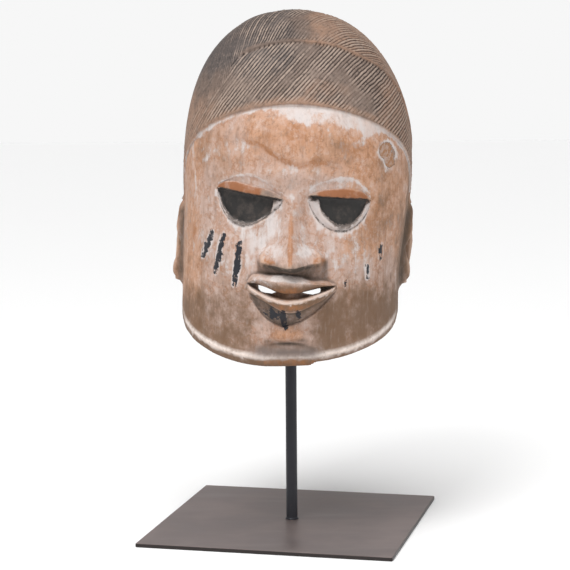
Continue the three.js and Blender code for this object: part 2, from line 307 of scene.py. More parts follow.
def eye_lines(eye, x, z):
    """Places on an eye: p runs from -1 at the outer corner to 1 at the inner, below hangs from the chord."""
    (ox, oz), (ix, iz) = eye["outer"], eye["inner"]
    p = 2 * (x - ox) / (ix - ox) - 1
    chord = oz + (iz - oz) * (p + 1) / 2
    full = np.clip(1 - p * p, 0, 1)
    rim = eye["rim_drop"] * full ** eye["rim_power"] * (1 + eye["rim_skew"] * p)
    pupil = np.clip(chord - curve(x, eye["black"]), 0, None)
    return dict(p=p, chord=chord, below=chord - z, full=full, rim=rim, pupil=np.minimum(pupil, rim - 1.0),
                lid=curve(x, eye["lid"]), brow=curve(x, eye["brow"]))


def eye_relief(eye, x, z):
    at = eye_lines(eye, x, z)
    below, full = at["below"], at["full"]
    across = (z - at["chord"]) / np.maximum(at["lid"] - at["chord"], 0.5)
    lid = (1.4 + 1.6 * np.clip(1 - across, 0, 1)) * ramp(0.5, -0.5, below) * ramp(0.8, -0.6, z - at["lid"])
    ball = 1.3 * np.clip(1 - (at["p"] + 0.1) ** 2 / 0.7, 0, 1) * bump((below - at["pupil"] * 0.55) / 9)
    sunk = ramp(-0.2, 0.8, below) * ramp(at["pupil"] + 1.8, at["pupil"] - 0.4, below)
    crest = 0.7 * bump((below - (at["pupil"] + at["rim"]) / 2) / 1.6) * ramp(0, 4, below)
    line = -0.9 * bump((below - at["rim"]) / 0.8) * ramp(0, 2, below)
    trough = (z - at["lid"]) / np.maximum(at["brow"] - at["lid"], 0.5)
    over = -1.1 * ramp(-0.1, 0.25, trough) * ramp(1.15, 0.6, trough)
    return full**0.25 * (lid + (ball - 3.6) * sunk + crest + line) + full**0.5 * over


print("eyes:", ", ".join(EYES))

# %% Nose: a blade that grows to the tip, two wings and a slanting underside
NOSE_TOP = 277.0
NOSE_EDGE = [(-27, 224.2), (-16.8, 221.4), (-7.7, 220.4), (-0.4, 219.9), (5, 220.3), (14, 221.4),
             (30, 223.6)]
NOSE_FOOT = [(-27, 215.6), (-17.2, 213.4), (-8, 212.8), (4.9, 212.3), (12.2, 210.7), (19.6, 209.4),
             (30, 209.3)]
NOSE_RIDGE = [(218, 1.3), (245, 0.9), (277, 1.8)]
NOSE_HALF = [(216, 26), (224, 26.2), (227.5, 25.6), (230.5, 23), (235, 16.8), (242, 13.4), (258, 10.6),
             (277, 6)]
NOSE_OUT, WING_OUT = 24.0, 11.0
RIDGE_ROUND = 1.6
MELT = 1.5


def nose_relief(x, z):
    side = x - curve(z, NOSE_RIDGE)
    half_width = curve(z, NOSE_HALF)
    height = NOSE_OUT * slope(NOSE_TOP, 220, z) ** 1.2
    away = np.sqrt(side * side + RIDGE_ROUND**2) - RIDGE_ROUND
    blade = height * np.clip(1 - away / half_width, 0, 1) ** 1.15
    wings = WING_OUT * slope(240, 223, z)
    wings = wings * ramp(half_width + 0.8, half_width - 5.0, np.abs(side)) * ramp(2, 13, np.abs(side))
    wings = wings * (0.72 + 0.28 * bump((np.abs(side) - 19) / 6))
    body = np.log(np.exp(blade / MELT) + np.exp(wings / MELT)) * MELT - MELT * math.log(2)
    foot = curve(x, NOSE_FOOT)
    return np.clip(body, 0, None) * slope(0, 1, (z - foot) / (curve(x, NOSE_EDGE) - foot))


print("nose: %.0f mm out at its tip" % NOSE_OUT)

# %% Mouth: two lips with bevelled tops, parted, over an undercut
UPPER_TOP = [(-31, 207.5), (-28.5, 211.4), (-23.4, 213.4), (-15, 212.8), (-6, 213.5), (1.3, 213),
             (8.6, 212.1), (16, 209.8), (28, 208.8), (35, 205.6)]
UPPER_CREST = [(-31, 207.2), (-24.2, 210), (-12.3, 209.4), (-2.2, 207.9), (8.8, 208.4), (19.7, 207.6),
               (35, 205.4)]
UPPER_EDGE = [(-31, 206.6), (-22.8, 206.3), (-15.9, 203.9), (-9.5, 201.6), (-2.1, 200.1), (3.4, 200.2),
              (9.3, 201), (14.3, 202.7), (23, 204.5), (35, 205.2)]
LOWER_EDGE = [(-31, 205.6), (-24.1, 201.9), (-16.8, 198.9), (-9.4, 196.6), (-2.1, 195.4), (3.4, 195.7),
              (8.9, 196.5), (16.2, 198.5), (24.4, 201.1), (35, 205)]
LOWER_BEVEL = [(-31, 204.4), (-24, 200.3), (-16.7, 197.2), (-9.3, 195), (-2, 193.8), (3.5, 194.2),
               (9, 195.3), (16.3, 197.1), (24.4, 199.8), (35, 204.4)]
LOWER_FOOT = [(-31, 201.4), (-19.5, 195.3), (-10.2, 190.4), (-1.9, 186.5), (1.3, 186.3), (8.1, 187.6),
              (16.3, 191.3), (25.4, 195.8), (35, 202.8)]
UNDERCUT = [(-31, 198), (-24.4, 189.6), (-18.8, 182.2), (-12.2, 177), (-3.9, 174.4), (2, 175.6), (9, 178),
            (14.5, 181.4), (21.8, 187), (28.1, 193.2), (35, 201)]
MOUTH_X, MOUTH_HALF = 2.0, 33.0
LIPS_OUT = 10.5
PARTING_DEPTH = 3.4


def mouth_relief(x, z):
    side = np.clip(np.abs(x - MOUTH_X) / MOUTH_HALF, 0, 1)
    out = LIPS_OUT * (1 - side**2.4) ** 0.6 + 1.6 * ramp(1, 0.94, side)
    parting = -PARTING_DEPTH * ramp(1.0, 0.8, side) * (1 - 0.8 * bump((x + 0.5) / 9))
    lines = (UPPER_TOP, UPPER_CREST, UPPER_EDGE, LOWER_EDGE, LOWER_BEVEL, LOWER_FOOT, UNDERCUT)
    top, crest, edge, high, bevel, foot, cut = (curve(x, line) for line in lines)
    return section(z, [
        (top + 0.6, 0 * x), (top - 0.5, 0.55 * out), (crest, out), (edge + 0.5, 0.58 * out),
        (edge - 0.5, parting), (high + 0.5, parting), (high - 0.4, 0.8 * out), (bevel, out),
        (foot, 0.62 * out), (foot - 1.2, 0.2 * out), (cut + 0.4, -0.16 * out), (cut - 0.8, 0 * x),
    ])


print("mouth: %.0f mm wide, parted by %.1f mm" % (2 * MOUTH_HALF, PARTING_DEPTH))

# %% Forehead, cheeks, chin and rim
FOREHEAD_CREASE = [(-60, 312), (-40, 311), (-23.2, 308), (-9.8, 299.6), (4.3, 293.2), (16, 295.2),
                   (29.1, 297.2), (45.4, 296.6), (70, 295)]
CHIN_CREASE = [(-22, 157.5), (-11.4, 161), (0, 162), (8, 161.6), (20, 157.5)]
ARRIS_HEIGHT = 7.2


def face_relief(x, z, above_rim):
    crease = curve(x, FOREHEAD_CREASE)
    forehead = 2.4 * ramp(crease - 3, crease + 4, z) * ramp(342, 322, z) * bump(x / 64)
    forehead = forehead + 2.8 * bump((z - 319) / 17) * bump((x - 2) / 46)
    brow = 1.5 * bump((z - 287) / 6) * bump((x - 2) / 55)
    hollows = -4.2 * bump((z - 262) / 13) * (bump((x + 11) / 8) + bump((x - 15.5) / 8))
    cheeks = 3 * bump((z - 228) / 20) * (bump((x + 44) / 18) + bump((x - 46) / 18))
    muzzle = 5 * bump((z - 198) / 19) * bump((x - 1) / 34)
    dimple = -2.2 * bump((z - 174) / 5) * bump((x + 2) / 22)
    chin = 4.2 * bump((z - 168.5) / 6) * bump((x + 0.5) / 17)
    chin_line = -2.2 * bump((z - curve(x, CHIN_CREASE)) / 2) * bump((x + 1) / 17)
    worn_arris = 1 - 0.6 * bump((x - 1) / 20)
    flare = worn_arris * section(above_rim, [
        (22, 0), (15, 0.5), (11, 1.9), (ARRIS_HEIGHT + 1.0, 4.4), (ARRIS_HEIGHT, 5.0), (0, 1.4)])
    eyes = sum(eye_relief(eye, x, z) for eye in EYES.values())
    return (forehead + brow + hollows + cheeks + muzzle + dimple + chin + chin_line + flare + eyes
            + nose_relief(x, z) + mouth_relief(x, z))


print("rim: arris %.1f mm over the edge" % ARRIS_HEIGHT)

# %% Ears: a raised C, open to the front, ending in a knob
EAR_Y, EAR_TOP, EAR_BOTTOM, EAR_HALF = 6.0, 259.0, 195.0, 15.0


def ear_relief(y, z, side):
    middle, tall = (EAR_TOP + EAR_BOTTOM) / 2, (EAR_TOP - EAR_BOTTOM) / 2
    dy, dz = (y - EAR_Y) / EAR_HALF, (z - middle) / tall
    radius = np.hypot(dy, dz)
    open_front = 1 - 0.75 * bump((dy + 0.9) / 0.5) * bump((dz + 0.1) / 0.35)
    rib = 5.4 + 3.4 * ramp(250, 226, z) + 1.6 * bump((z - 226) / 16) * (side > 0)
    rib = rib * bump((radius - 0.8) * 4.4) * open_front
    inner_rib = 2.8 * bump((np.hypot(dy - 0.1, dz - 0.05) - 0.36) * 6.5) * ramp(-0.5, 0.1, dy + 0.5 * dz)
    bowl = 0.9 * ramp(1, 0.7, radius)
    knob = 6.6 * bump((y - EAR_Y + 5) / 6.5) * ramp(EAR_BOTTOM - 1, EAR_BOTTOM + 1.5, z) * ramp(205, 201, z)
    nick = 2.2 * bump((y - EAR_Y + 6) / 5) * bump((z - 223.5) / 2.5)
    return largest(rib, inner_rib, bowl, knob, nick)


print("ears: %.0f mm tall" % (EAR_TOP - EAR_BOTTOM))

# %% [markdown]
# ## The hair
# The hair is a low raised cap, cut with close parallel grooves like combed hair. A front band runs
# from the hairline to a seam that crosses the head from ear to ear, the crown band starts behind
# it with strands that leave the seam at a slant, and a plainer back band falls to the nape. Each
# band only needs a number at every point: how many strands lie between it and a starting line.

# %% Hairline, seams and strand numbers
HAIR_THICKNESS = 2.4
HAIRLINE_FRONT = 337.0
SEAM = [(-92, 300), (-80, 318), (-69.7, 332), (-57.7, 343.5), (-50.1, 352), (-44.1, 366.5), (-38.5, 371.6),
        (-26.9, 377), (-4.5, 381.8), (10, 381.7), (31.8, 378.6), (51, 370.6), (68.1, 360.2), (78.7, 347.5),
        (84.5, 335), (92, 305)]
FRONT_PITCH, CROWN_PITCH, BACK_PITCH = 3.4, 2.3, 3.0
FRONT_CLIMB = [(-120, -146), (-60, -72), (0, 0), (20, 22), (40, 42), (60, 58.5), (80, 73), (120, 101)]


def hairline(angle):
    fall = 1 - np.cos(np.minimum(np.abs(angle), math.pi / 2))
    front = HAIRLINE_FRONT - 54 * fall - 24 * fall**4
    behind_ear = ramp(math.radians(97), math.radians(108), np.abs(angle))
    return front + (rim_height(angle) + 7 - front) * behind_ear


print("strands: %.1f, %.1f and %.1f mm apart" % (FRONT_PITCH, CROWN_PITCH, BACK_PITCH))

# %% Build the arrays of the shell
COLUMNS, FACE_ROWS, DOME_ROWS, INNER_ROWS = 1280, 320, 330, 110
FIRST_ROW = 1.2
DOME_END = 0.985
DOME_SPACING = 2 / 2.2

angle = np.linspace(-math.pi, math.pi, COLUMNS, endpoint=False)[None, :]
rim = rim_height(angle)
low_rows = np.linspace(0, 1, FACE_ROWS, endpoint=False)[:, None]
dome_rows = np.sin(np.linspace(0, DOME_END, DOME_ROWS) * math.pi / 2)[:, None] ** DOME_SPACING
height = np.concatenate([
    rim + FIRST_ROW + (EQUATOR - rim - FIRST_ROW) * low_rows,
    np.broadcast_to(EQUATOR + (CROWN_TOP - EQUATOR) * dome_rows, (DOME_ROWS, COLUMNS)),
])
bare = head_point(angle, height)
STEP = 1e-3
around = head_point(angle + STEP, height) - head_point(angle - STEP, height)
upward = head_point(angle, height + 0.05) - head_point(angle, height - 0.05)
outward = np.cross(around, upward)
outward /= np.linalg.norm(outward, axis=-1, keepdims=True)
x, y, z = (bare[..., k] for k in range(3))
print("shell rows and columns:", z.shape)


def on_surface(field):
    """Turns a field that is zero on a line into true millimetres from that line, along the surface."""
    rise = np.gradient(field, axis=0) / np.linalg.norm(np.gradient(bare, axis=0), axis=-1)
    turn = np.roll(field, -1, 1) - np.roll(field, 1, 1)
    turn = turn / np.linalg.norm(np.roll(bare, -1, 1) - np.roll(bare, 1, 1), axis=-1)
    return field / np.maximum(np.hypot(rise, turn), 0.2)


# %% Carve the outer surface
degrees = np.degrees(np.abs(angle))
facing = ramp(88, 62, degrees)
above_hairline = on_surface(z - hairline(angle))
in_hair = ramp(-0.8, 0.8, above_hairline)
over_seam = on_surface(np.where(y < -2, z - curve(x, SEAM), 60.0))
side_share = 1 - 0.4 * bump((degrees - 88) / 35)
carved = bare + outward * (HAIR_THICKNESS * in_hair * side_share)[..., None]
seam_share = ramp(-50, -30, x)
roll = 0.9 * ramp(8, 1, over_seam) * ramp(-0.5, 0.5, over_seam) - 0.8 * bump((over_seam + 0.9) / 1.1)
roll = roll * ramp(5, 11, above_hairline) * ramp(298, 310, z) * seam_share
carved += outward * roll[..., None]
forward = facing * ramp(346, 332, z) * face_relief(x, z, z - rim_height(angle, 0.0)) * (1 - in_hair)
ear_zone = ramp(50, 75, degrees) * ramp(130, 110, degrees)
ear_out = ear_relief(y, z, angle)
carved[..., 0] += ear_zone * ear_out * np.sign(angle)
carved[..., 1] -= forward


def soften(field, rounds):
    """Averages a field with its neighbours, round after round."""
    for _ in range(rounds):
        tall = np.pad(field, ((1, 1), (0, 0)), mode="edge")
        field = (tall[:-2] + field + tall[2:]) / 3
        field = (np.roll(field, 1, 1) + field + np.roll(field, -1, 1)) / 3
    return field


# A high-pass of the carved height. In hollows it becomes painted shade with some grime; on raised edges, a
# painted highlight with some wear.
height_over = forward + ear_zone * ear_out + HAIR_THICKNESS * in_hair
relief_shade_and_wear = np.clip((soften(height_over, 9) - height_over) / 0.9, -1, 1)
print("carved: out to x %.1f..%.1f, y %.1f..%.1f" % (
    carved[..., 0].min(), carved[..., 0].max(), carved[..., 1].min(), carved[..., 1].max()))

# %% Count the strands
HEAD_RADIUS = 95.0
BACK_SLANT = math.radians(76)
CROWN_END = math.radians(118)
CROWN_SWEEP = [(-1.6, 0), (-1.05, 0.02), (-0.3, 0.3), (0, 0.45), (0.6, 0.68), (1.05, 0.42), (1.6, 0.1)]
aside = np.arcsin(np.clip(x / HEAD_RADIUS, -1, 1))
over_head = np.arctan2(z - EQUATOR, -y)
front_strand = (curve(HEAD_RADIUS * aside, FRONT_CLIMB) - z) / FRONT_PITCH
seam_turn = np.arctan2(curve(x, SEAM) - EQUATOR, 60.0)
crown_strand = aside - 0.125 * aside**2 - curve(aside, CROWN_SWEEP) * (over_head - seam_turn)
crown_strand = crown_strand * HEAD_RADIUS / CROWN_PITCH
round_back = np.sign(angle) * (math.pi - np.abs(angle))
round_back = round_back + (aside - round_back) * ramp(EQUATOR, EQUATOR + 60, z)
back_strand = (HEAD_RADIUS * round_back * math.sin(BACK_SLANT) + z * math.cos(BACK_SLANT)) / BACK_PITCH
behind_crown = on_surface(over_head - CROWN_END + 0.25 * (x / 90) ** 2)
is_back = (behind_crown > 0) | (z < EQUATOR + 4)
is_front = over_seam < 0
strand = np.where(is_front, front_strand, np.where(is_back, back_strand, crown_strand))
frayed = ramp(62, 20, x)
comb = in_hair * ramp(0.2 + 0.8 * frayed, 1.6 + 2.6 * frayed, above_hairline)
comb = comb * (1 - seam_share * bump(over_seam / 2.2) * (over_seam > 0))
worn_side = ramp(-38, -56, x) * ramp(-4, 6, over_seam) * ramp(397, 388, z) * ramp(24, -4, y)
worn_top = bump((x - 16) / 15) * bump((z - 391) / 7)
worn_temple = ramp(-50, -70, x) * (z > 300) * (y < 10)
smooth_crown = largest(0.8 * worn_side, worn_top, 0.4 * worn_temple)
comb = comb * (1 - 0.85 * smooth_crown)
comb = comb * np.where(z > EQUATOR, 1 - 0.8 * bump(behind_crown / 1.5), 1)
print("strands across the front band: %d" % (front_strand[is_front].max() - front_strand[is_front].min()))

# %% [markdown]
# ## What the years left on the wood, and painted light and shade
# The paint, the chalk and the rubbed places are kept as numbers at the points too, and so are the
# painted shade of hollows and undersides and the painted highlights on edges. A shape with an
# edge is kept as millimetres to its edge, positive inside, because such numbers can be read
# between the points without losing the edge. The material later turns them into colour.

# %% Eyes, scars and marks
SCARS = [
    ((-58.3, 241.4), (-65.9, 222.5), 1.9), ((-49.6, 240.7), (-55.6, 211.7), 2.1),
    ((-37.0, 235.2), (-40.8, 204.3), 2.3), ((67.7, 233.2), (67.9, 222.6), 1.2),
    ((58.0, 218.6), (58.2, 208.8), 1.1), ((41.7, 208.6), (41.8, 204.2), 1.0),
]
CHIN_MARKS = [
    ((-18.4, 188.4), (-16.6, 181.4), 1.3), ((-12.0, 189.0), (-11.0, 180.0), 2.4),
    ((-6.9, 185.6), (-6.8, 180.0), 1.5), ((-3.6, 186.0), (-2.8, 173.4), 2.7),
    ((7.0, 187.4), (7.6, 181.0), 1.9),
]
SCAR_DEPTH = 0.5


def stroke(start, end, half_width):
    """Millimetres inside a stroke with rounded, tapering ends."""
    (sx, sz), (ex, ez) = start, end
    length = math.hypot(ex - sx, ez - sz)
    t = np.clip(((x - sx) * (ex - sx) + (z - sz) * (ez - sz)) / length**2, 0, 1)
    gap = np.hypot(x - sx - t * (ex - sx), z - sz - t * (ez - sz))
    return half_width * (0.5 + 0.5 * np.sin(math.pi * (0.12 + 0.76 * t))) - gap


def patches(places):
    """Soft round patches, each given by its middle, its half sizes and its strength."""
    return [amount * bump((x - px) / wide) * bump((z - pz) / tall) for px, pz, wide, tall, amount in places]


def above(line):
    """How far each point lies above a carved line."""
    return z - curve(x, line)


FAR = -20.0
LID_PAINT = {"left": (-57, -22), "right": (20, 57)}


def eye_shapes(side, at):
    """The painted shapes of one eye, in millimetres inside their edges."""
    full, below, pupil, rim_line = at["full"], at["below"], at["pupil"], at["rim"]
    lid_ends = np.minimum(x - LID_PAINT[side][0], LID_PAINT[side][1] - x) * 0.4
    shapes = dict(
        black=(0.04, np.minimum(below - 0.1, (pupil - below) * 0.8)),
        white_rim=(0, np.minimum(below - pupil, rim_line - below) * 0.8),
        cut_line=(0, 0.75 - np.abs(rim_line - below) * 0.8),
        lid=(0, np.minimum(np.minimum(-below, at["lid"] - z), lid_ends)),
        lash=(0.02, 0.75 * np.minimum(full * 3, 1) - np.abs(below + 0.2)),
    )
    return {name: np.where(full > least, inside, FAR) for name, (least, inside) in shapes.items()}


in_front = facing > 0.02
on_face = in_front & (in_hair < 0.5)
eye_at = {side: eye_lines(eye, x, z) for side, eye in EYES.items()}
each_eye = [eye_shapes(side, at) for side, at in eye_at.items()]
eye_paint = {name: largest(*[shapes[name] for shapes in each_eye]) for name in each_eye[0]}
scar = largest(*[stroke(*mark) for mark in SCARS])
chin_mark = largest(*[stroke(*mark) for mark in CHIN_MARKS])
carved[..., 1] -= np.where(in_front, SCAR_DEPTH * ramp(-0.2, 0.5, scar), 0)
print("painted: %s, %d scars, %d chin marks" % (", ".join(eye_paint), len(SCARS), len(CHIN_MARKS)))

# %% Chalk and painted highlights
CHALK_PATCHES = [
    (-26, 238, 16, 12, 0.95), (-13, 248, 7, 13, 0.9), (-5, 243, 5, 14, 0.5), (10, 244, 5, 13, 0.55),
    (-9, 231, 6, 8, 0.9), (-29, 226, 5, 10, 0.75), (12, 230, 7, 8, 0.8), (30, 236, 5, 16, 0.7),
    (34, 222, 3, 12, 0.55), (48, 240, 3, 12, 0.55), (36, 320, 10, 5, 0.5), (52, 312, 6, 5, 0.5),
    (57, 224, 2, 14, 0.5), (66, 240, 2, 10, 0.5), (-20, 207, 14, 8, 0.6), (-70, 266, 4, 16, 0.55),
    (-60, 232, 5, 14, 0.5), (0, 290, 22, 6, 0.5), (-60, 300, 9, 10, 0.5), (0, 271, 12, 2, 0.6),
    (-38, 306, 14, 8, 0.4), (-47, 224, 16, 18, 0.5), (48, 230, 13, 20, 0.42), (12, 173, 2.5, 8, 0.6),
    (-18, 180, 3, 6, 0.6), (-3, 333, 18, 5, 0.7), (34, 322, 22, 8, 0.45), (61, 283, 10, 4, 0.35),
    (-64, 196, 4, 14, 0.35), (28, 196, 4, 10, 0.4),
]
under_hair = -above_hairline
mouth_side = np.abs(x - MOUTH_X)
chalk = largest(*patches(CHALK_PATCHES))
chalk = np.maximum(chalk, 0.6 * ramp(-1, 0.6, stroke((-76, 305), (-73, 276), 1.4)) * (angle < 0))
band_foot = 9 + 5 * bump((x - 14) / 14) + 3 * bump((x - 52) / 9) - 7 * ramp(60, 70, x)
top_chalk = 0.9 * ramp(-20, -4, x) * ramp(band_foot + 4, band_foot - 4, under_hair)
top_chalk = top_chalk + 0.7 * ramp(2.6, 0.6, under_hair)
chalk = np.maximum(chalk, top_chalk * (under_hair > -0.5) * ramp(120, 90, degrees))
for at in eye_at.values():
    on_eye = at["full"] > 0
    band = (z - at["lid"]) / np.maximum(at["brow"] - at["lid"], 0.5)
    arc = largest(0.42 * ramp(-0.1, 0.2, band) * ramp(1.2, 0.9, band), bump((band - 1) / 0.16)) * on_eye
    beside = 0.75 * ramp(at["rim"] + 7, at["rim"] + 0.5, at["below"]) * ramp(0, 3, at["below"]) * on_eye
    chalk = largest(chalk, arc, beside)
# The tops of the lips: chalk, with a painted highlight on these upward-facing planes.
lip_top_chalk_and_highlight = largest(
    1.8 * bump((above(UPPER_TOP) + 1.6) / 2.2) * bump((x + 1) / 13),
    0.9 * bump((above(LOWER_EDGE) + 1.2) / 1.3) * (mouth_side < 32))
pale_ground = (0.22 - 0.12 * ramp(262, 290, z) - 0.08 * ramp(40, 60, x)) * ramp(208, 230, z)
chalk = largest(chalk * (0.45 + 0.55 * ramp(196, 214, z)), lip_top_chalk_and_highlight, pale_ground) * in_front
# A painted highlight along the rounded edge above the rim, fainter in the middle, and on the top of the upper
# lip under the nose.
above_arris = z - rim_height(angle, 0.0) - ARRIS_HEIGHT
painted_highlight = ramp(-1.8, -0.4, above_arris) * ramp(4.2, 0.2, above_arris)
painted_highlight = painted_highlight * ramp(80, 60, degrees) * (1 - 0.5 * bump(x / 18))
painted_highlight = np.maximum(painted_highlight, 0.9 * bump((above(UPPER_TOP) + 2.2) / 1.8) * bump((x + 1) / 12)) * in_front
print("chalk covers %.0f%% of the front" % (100 * (chalk[on_face] > 0.3).mean()))

# %% Rubbed wood, and soot with painted shade
RUBBED_PATCHES = [
    (-16, 222.6, 6, 2.8, 1.3), (22.4, 223.6, 4.6, 3.6, 1.6), (-2, 167, 12, 5, 0.75),
    (0, 318, 34, 14, 0.55), (50, 306, 20, 10, 0.55), (-74, 240, 3, 10, 0.9), (1, 190.5, 17, 3, 0.8),
    (1, 202.5, 12, 2.5, 0.8), (60, 250, 8, 16, 0.45), (40, 246, 14, 7, 0.4), (0, 147.2, 24, 2.6, 1.0),
    (-78, 215, 4, 20, 0.5), (2, 262, 3, 14, 0.35), (66, 206, 7, 16, 0.4), (-38, 196, 2.2, 2.2, 0.8),
]
rubbed = in_front * largest(
    1.25 * bump((x - curve(z, NOSE_RIDGE)) / 1.9) * ramp(219.5, 222, z) * ramp(266, 246, z),
    0.7 * bump(above(FOREHEAD_CREASE) / 4) * bump(x / 46),
    1.2 * bump((above(FOREHEAD_CREASE) + 1.5 * np.sin(x / 3)) / 0.8) * ramp(-40, -30, x) * ramp(34, 20, x),
    *patches(RUBBED_PATCHES))

SHADE_AND_SOOT_PATCHES = [
    (9, 164, 3.5, 2, 0.7), (-2, 146.5, 13, 2.2, 0.6), (2, 146, 24, 3, 0.4), (-15, 162.5, 3, 2, 0.5),
    (-37.5, 196.5, 1.2, 1.6, 0.75),
]
# Under the nose: dark paint and painted shade on the downward face, darkest in the middle and just under the
# edge.
under_nose = -above(NOSE_EDGE)
nose_dark = 0.95 - 0.35 * ramp(-12, -24, x) - 0.3 * ramp(8, 22, x) + 0.3 * bump((under_nose - 1.2) / 1.6)
nose_dark = nose_dark * slope(-1, 0.4, under_nose) * slope(-3, 1, above(NOSE_FOOT) + 1)
nose_dark = nose_dark * ramp(27.5, 25, np.abs(x - 2.5)) * ramp(-0.6, 0.4, above(UPPER_TOP))
# Painted shade with grey paint under the lower lip, lighter to the right, and in the parting between the
# lips, lighter in the middle.
lip_under = ramp(0, 1.0, -above(LOWER_FOOT)) * ramp(-0.8, 1.0, above(UNDERCUT)) * (mouth_side < 31)
parting = ramp(0.6, -0.6, above(UPPER_EDGE)) * ramp(-0.6, 0.6, above(LOWER_EDGE)) * (mouth_side < 33)
shade_and_soot = in_front * largest(
    nose_dark, lip_under * (0.85 - 0.35 * ramp(0, 22, x)), parting * (0.95 - 0.6 * bump(x / 9)),
    bump((above(CHIN_CREASE) + 0.9) / 1.5) * bump((x - 1) / 16), *patches(SHADE_AND_SOOT_PATCHES))
lid_end = largest(*[
    ramp(-0.4, 0.6, at["lid"] - z) * ramp(-0.4, 0.4, -at["below"]) * (at["full"] > 0)
    for at in eye_at.values()])
lid_end = lid_end * largest(ramp(-27, -19, x) * (x < 0), ramp(22, 17, x) * (x > 0))
shade_and_soot = np.maximum(shade_and_soot, 0.6 * lid_end * in_front)
# Painted shade in the hollows of the ears.
ear_dark = ear_zone * ramp(259, 250, z) * ramp(190, 200, z) * ramp(6, 2.5, ear_out)
shade_and_soot = np.maximum(shade_and_soot, 0.8 * ear_dark * ramp(24, 15, np.abs(y - EAR_Y)))
slate = in_front * bump((z - 155) / 4.4) * ramp(148.6, 151.4, z) * ramp(-34, -18, x) * ramp(30, 16, x)
print("rubbed: %d places, soot: %d places" % (len(RUBBED_PATCHES), len(SHADE_AND_SOOT_PATCHES)))

# %% Stains with painted shade, and corners
# Darker towards the jaw, on the right side and on the rim's underside: partly stain, partly painted shade.
shade_and_stain = largest(
    0.95 * ramp(218, 178, z) * ramp(0, 34, x), 0.7 * ramp(215, 178, z) * ramp(-8, -34, x),
    0.4 * ramp(178, 160, z) * (1 - bump(x / 17) * ramp(160, 164, z)), 0.3 * ramp(56, 74, x),
    0.5 * ramp(62, 80, degrees) * (x > 0), 0.8 * ramp(66, 76, degrees) * (x > 0),
    0.5 * ramp(58, 78, degrees) * ramp(280, 250, z), 0.85 * ramp(0, -2, above_arris))
shade_and_stain = shade_and_stain * ramp(125, 100, degrees) * (1 - in_hair)
lips = ramp(-0.5, 0.5, above(LOWER_FOOT)) * ramp(0.5, -0.5, above(UPPER_TOP)) * (mouth_side < 33)
lip_bevel = bump((above(LOWER_EDGE) + 1.2) / 1.4)
lip_front = ramp(1.0, -0.6, above(LOWER_BEVEL)) * ramp(-0.5, 0.3, above(LOWER_FOOT))
lip_low = ramp(1.0, -1.0, above(UPPER_CREST)) * ramp(-0.5, 0.5, above(UPPER_EDGE))
lip_foot = bump((above(LOWER_FOOT) + 0.4) / 1.6) * (mouth_side < 33)
# Painted shade on the downward planes of the lips, with brown paint.
shade_and_stain = np.maximum(shade_and_stain, in_front * lips * largest(0.2, lip_front, 0.8 * lip_low))
# Beside the nose and on the lips the painted shade of hollows is mostly taken off, and on the lips the
# painted edge highlight too, except on the lower lip's bevel.
beside_nose = in_front * ramp(36, 29, np.abs(x - 2.5)) * ramp(250, 242, z) * ramp(216, 222, z)
relief_shade_and_wear = np.where(relief_shade_and_wear > 0, relief_shade_and_wear * (1 - 0.8 * beside_nose) * (1 - 0.8 * lips),
                relief_shade_and_wear * (1 - 0.8 * np.maximum(lips, lip_foot) * (1 - lip_bevel)))
print("stained: %.0f%% of the front" % (100 * (shade_and_stain[on_face] > 0.5).mean()))

# %% A flaked patch and the warmer wood
FLAKE_LOBES = [(70.6, 304, 5.8, 1.1, 1.0), (73.6, 298, 5.0, 1.2, 0.75)]
FLAKE_DEPTH = 0.9
flake = largest(*[
    reach - np.hypot((x - px) * across, (z - pz) * tall) for px, pz, reach, across, tall in FLAKE_LOBES])
flake = np.where(x > 0, flake, FAR)
carved[..., 0] -= FLAKE_DEPTH * ramp(-0.4, 0.6, flake)

WARM_PATCHES = [(10, 314, 70, 28, 1.0), (0, 200, 34, 14, 0.5), (0, 169, 17, 7, 0.9), (-30, 306, 30, 14, 0.45)]
warm = (1 - in_hair) * largest(
    0.9 * ramp(20, 55, x) * ramp(205, 235, z), 0.8 * ramp(-60, -74, x), *patches(WARM_PATCHES))
warm_hair = largest(
    ramp(-4, 26, x) * ramp(0, 4, over_seam), seam_share * bump((over_seam - 1.2) / 2.2),
    0.8 * bump((above_hairline - 3) / 3.5), 0.7 * ramp(-30, -60, x) * ramp(360, 330, z),
    0.9 * ramp(56, 76, x), *patches([(24, 350, 20, 8, 0.5)]))
warm = warm + in_hair * (warm_hair - 0.9 * ramp(16, -16, x) * ramp(345, 372, z))
print("flaked: %.1f mm deep at one temple" % FLAKE_DEPTH)

# %% Hollow, rim and closed shell
INNER_EDGE = 2.0
INNER_LOW_SHARE, INNER_DOME_END = 0.45, 0.97
inner_top = CROWN_TOP - WALL
inner_low = int(INNER_ROWS * INNER_LOW_SHARE)
inner_low_rows = np.linspace(0, 1, inner_low, endpoint=False)[:, None]
inner_dome = np.linspace(0, INNER_DOME_END, INNER_ROWS - inner_low)
inner_dome = np.sin(inner_dome * math.pi / 2)[:, None] ** DOME_SPACING
inner_height = np.concatenate([
    rim + INNER_EDGE + (EQUATOR - rim - INNER_EDGE) * inner_low_rows,
    np.broadcast_to(EQUATOR + (inner_top - EQUATOR) * inner_dome, (INNER_ROWS - inner_low, COLUMNS)),
])
inner = head_point(angle, inner_height, WALL)[::-1]
EDGE_ROUND = [(6.6, 0.7), (5.0, 0.15), (3.2, 0.0), (1.6, 0.25)]
EDGE_FORWARD = [[0.35], [0.6], [0.8], [0.95]]
edge = np.concatenate([head_point(angle, rim + lift, inset) for inset, lift in EDGE_ROUND])
edge[..., 1] -= forward[:1] * np.array(EDGE_FORWARD)
rows = np.concatenate([inner, edge, carved])
inner_count, edge_count = len(inner), len(edge)


def all_rows(field, fill=0.0):
    """A field of the outer surface with a fill value for the hollow and the first outer value on the edge."""
    field = np.broadcast_to(field, carved.shape[:2]).astype(float)
    low = np.repeat(field[:1], edge_count, 0)
    return np.concatenate([np.full((inner_count, COLUMNS), fill), low, field])


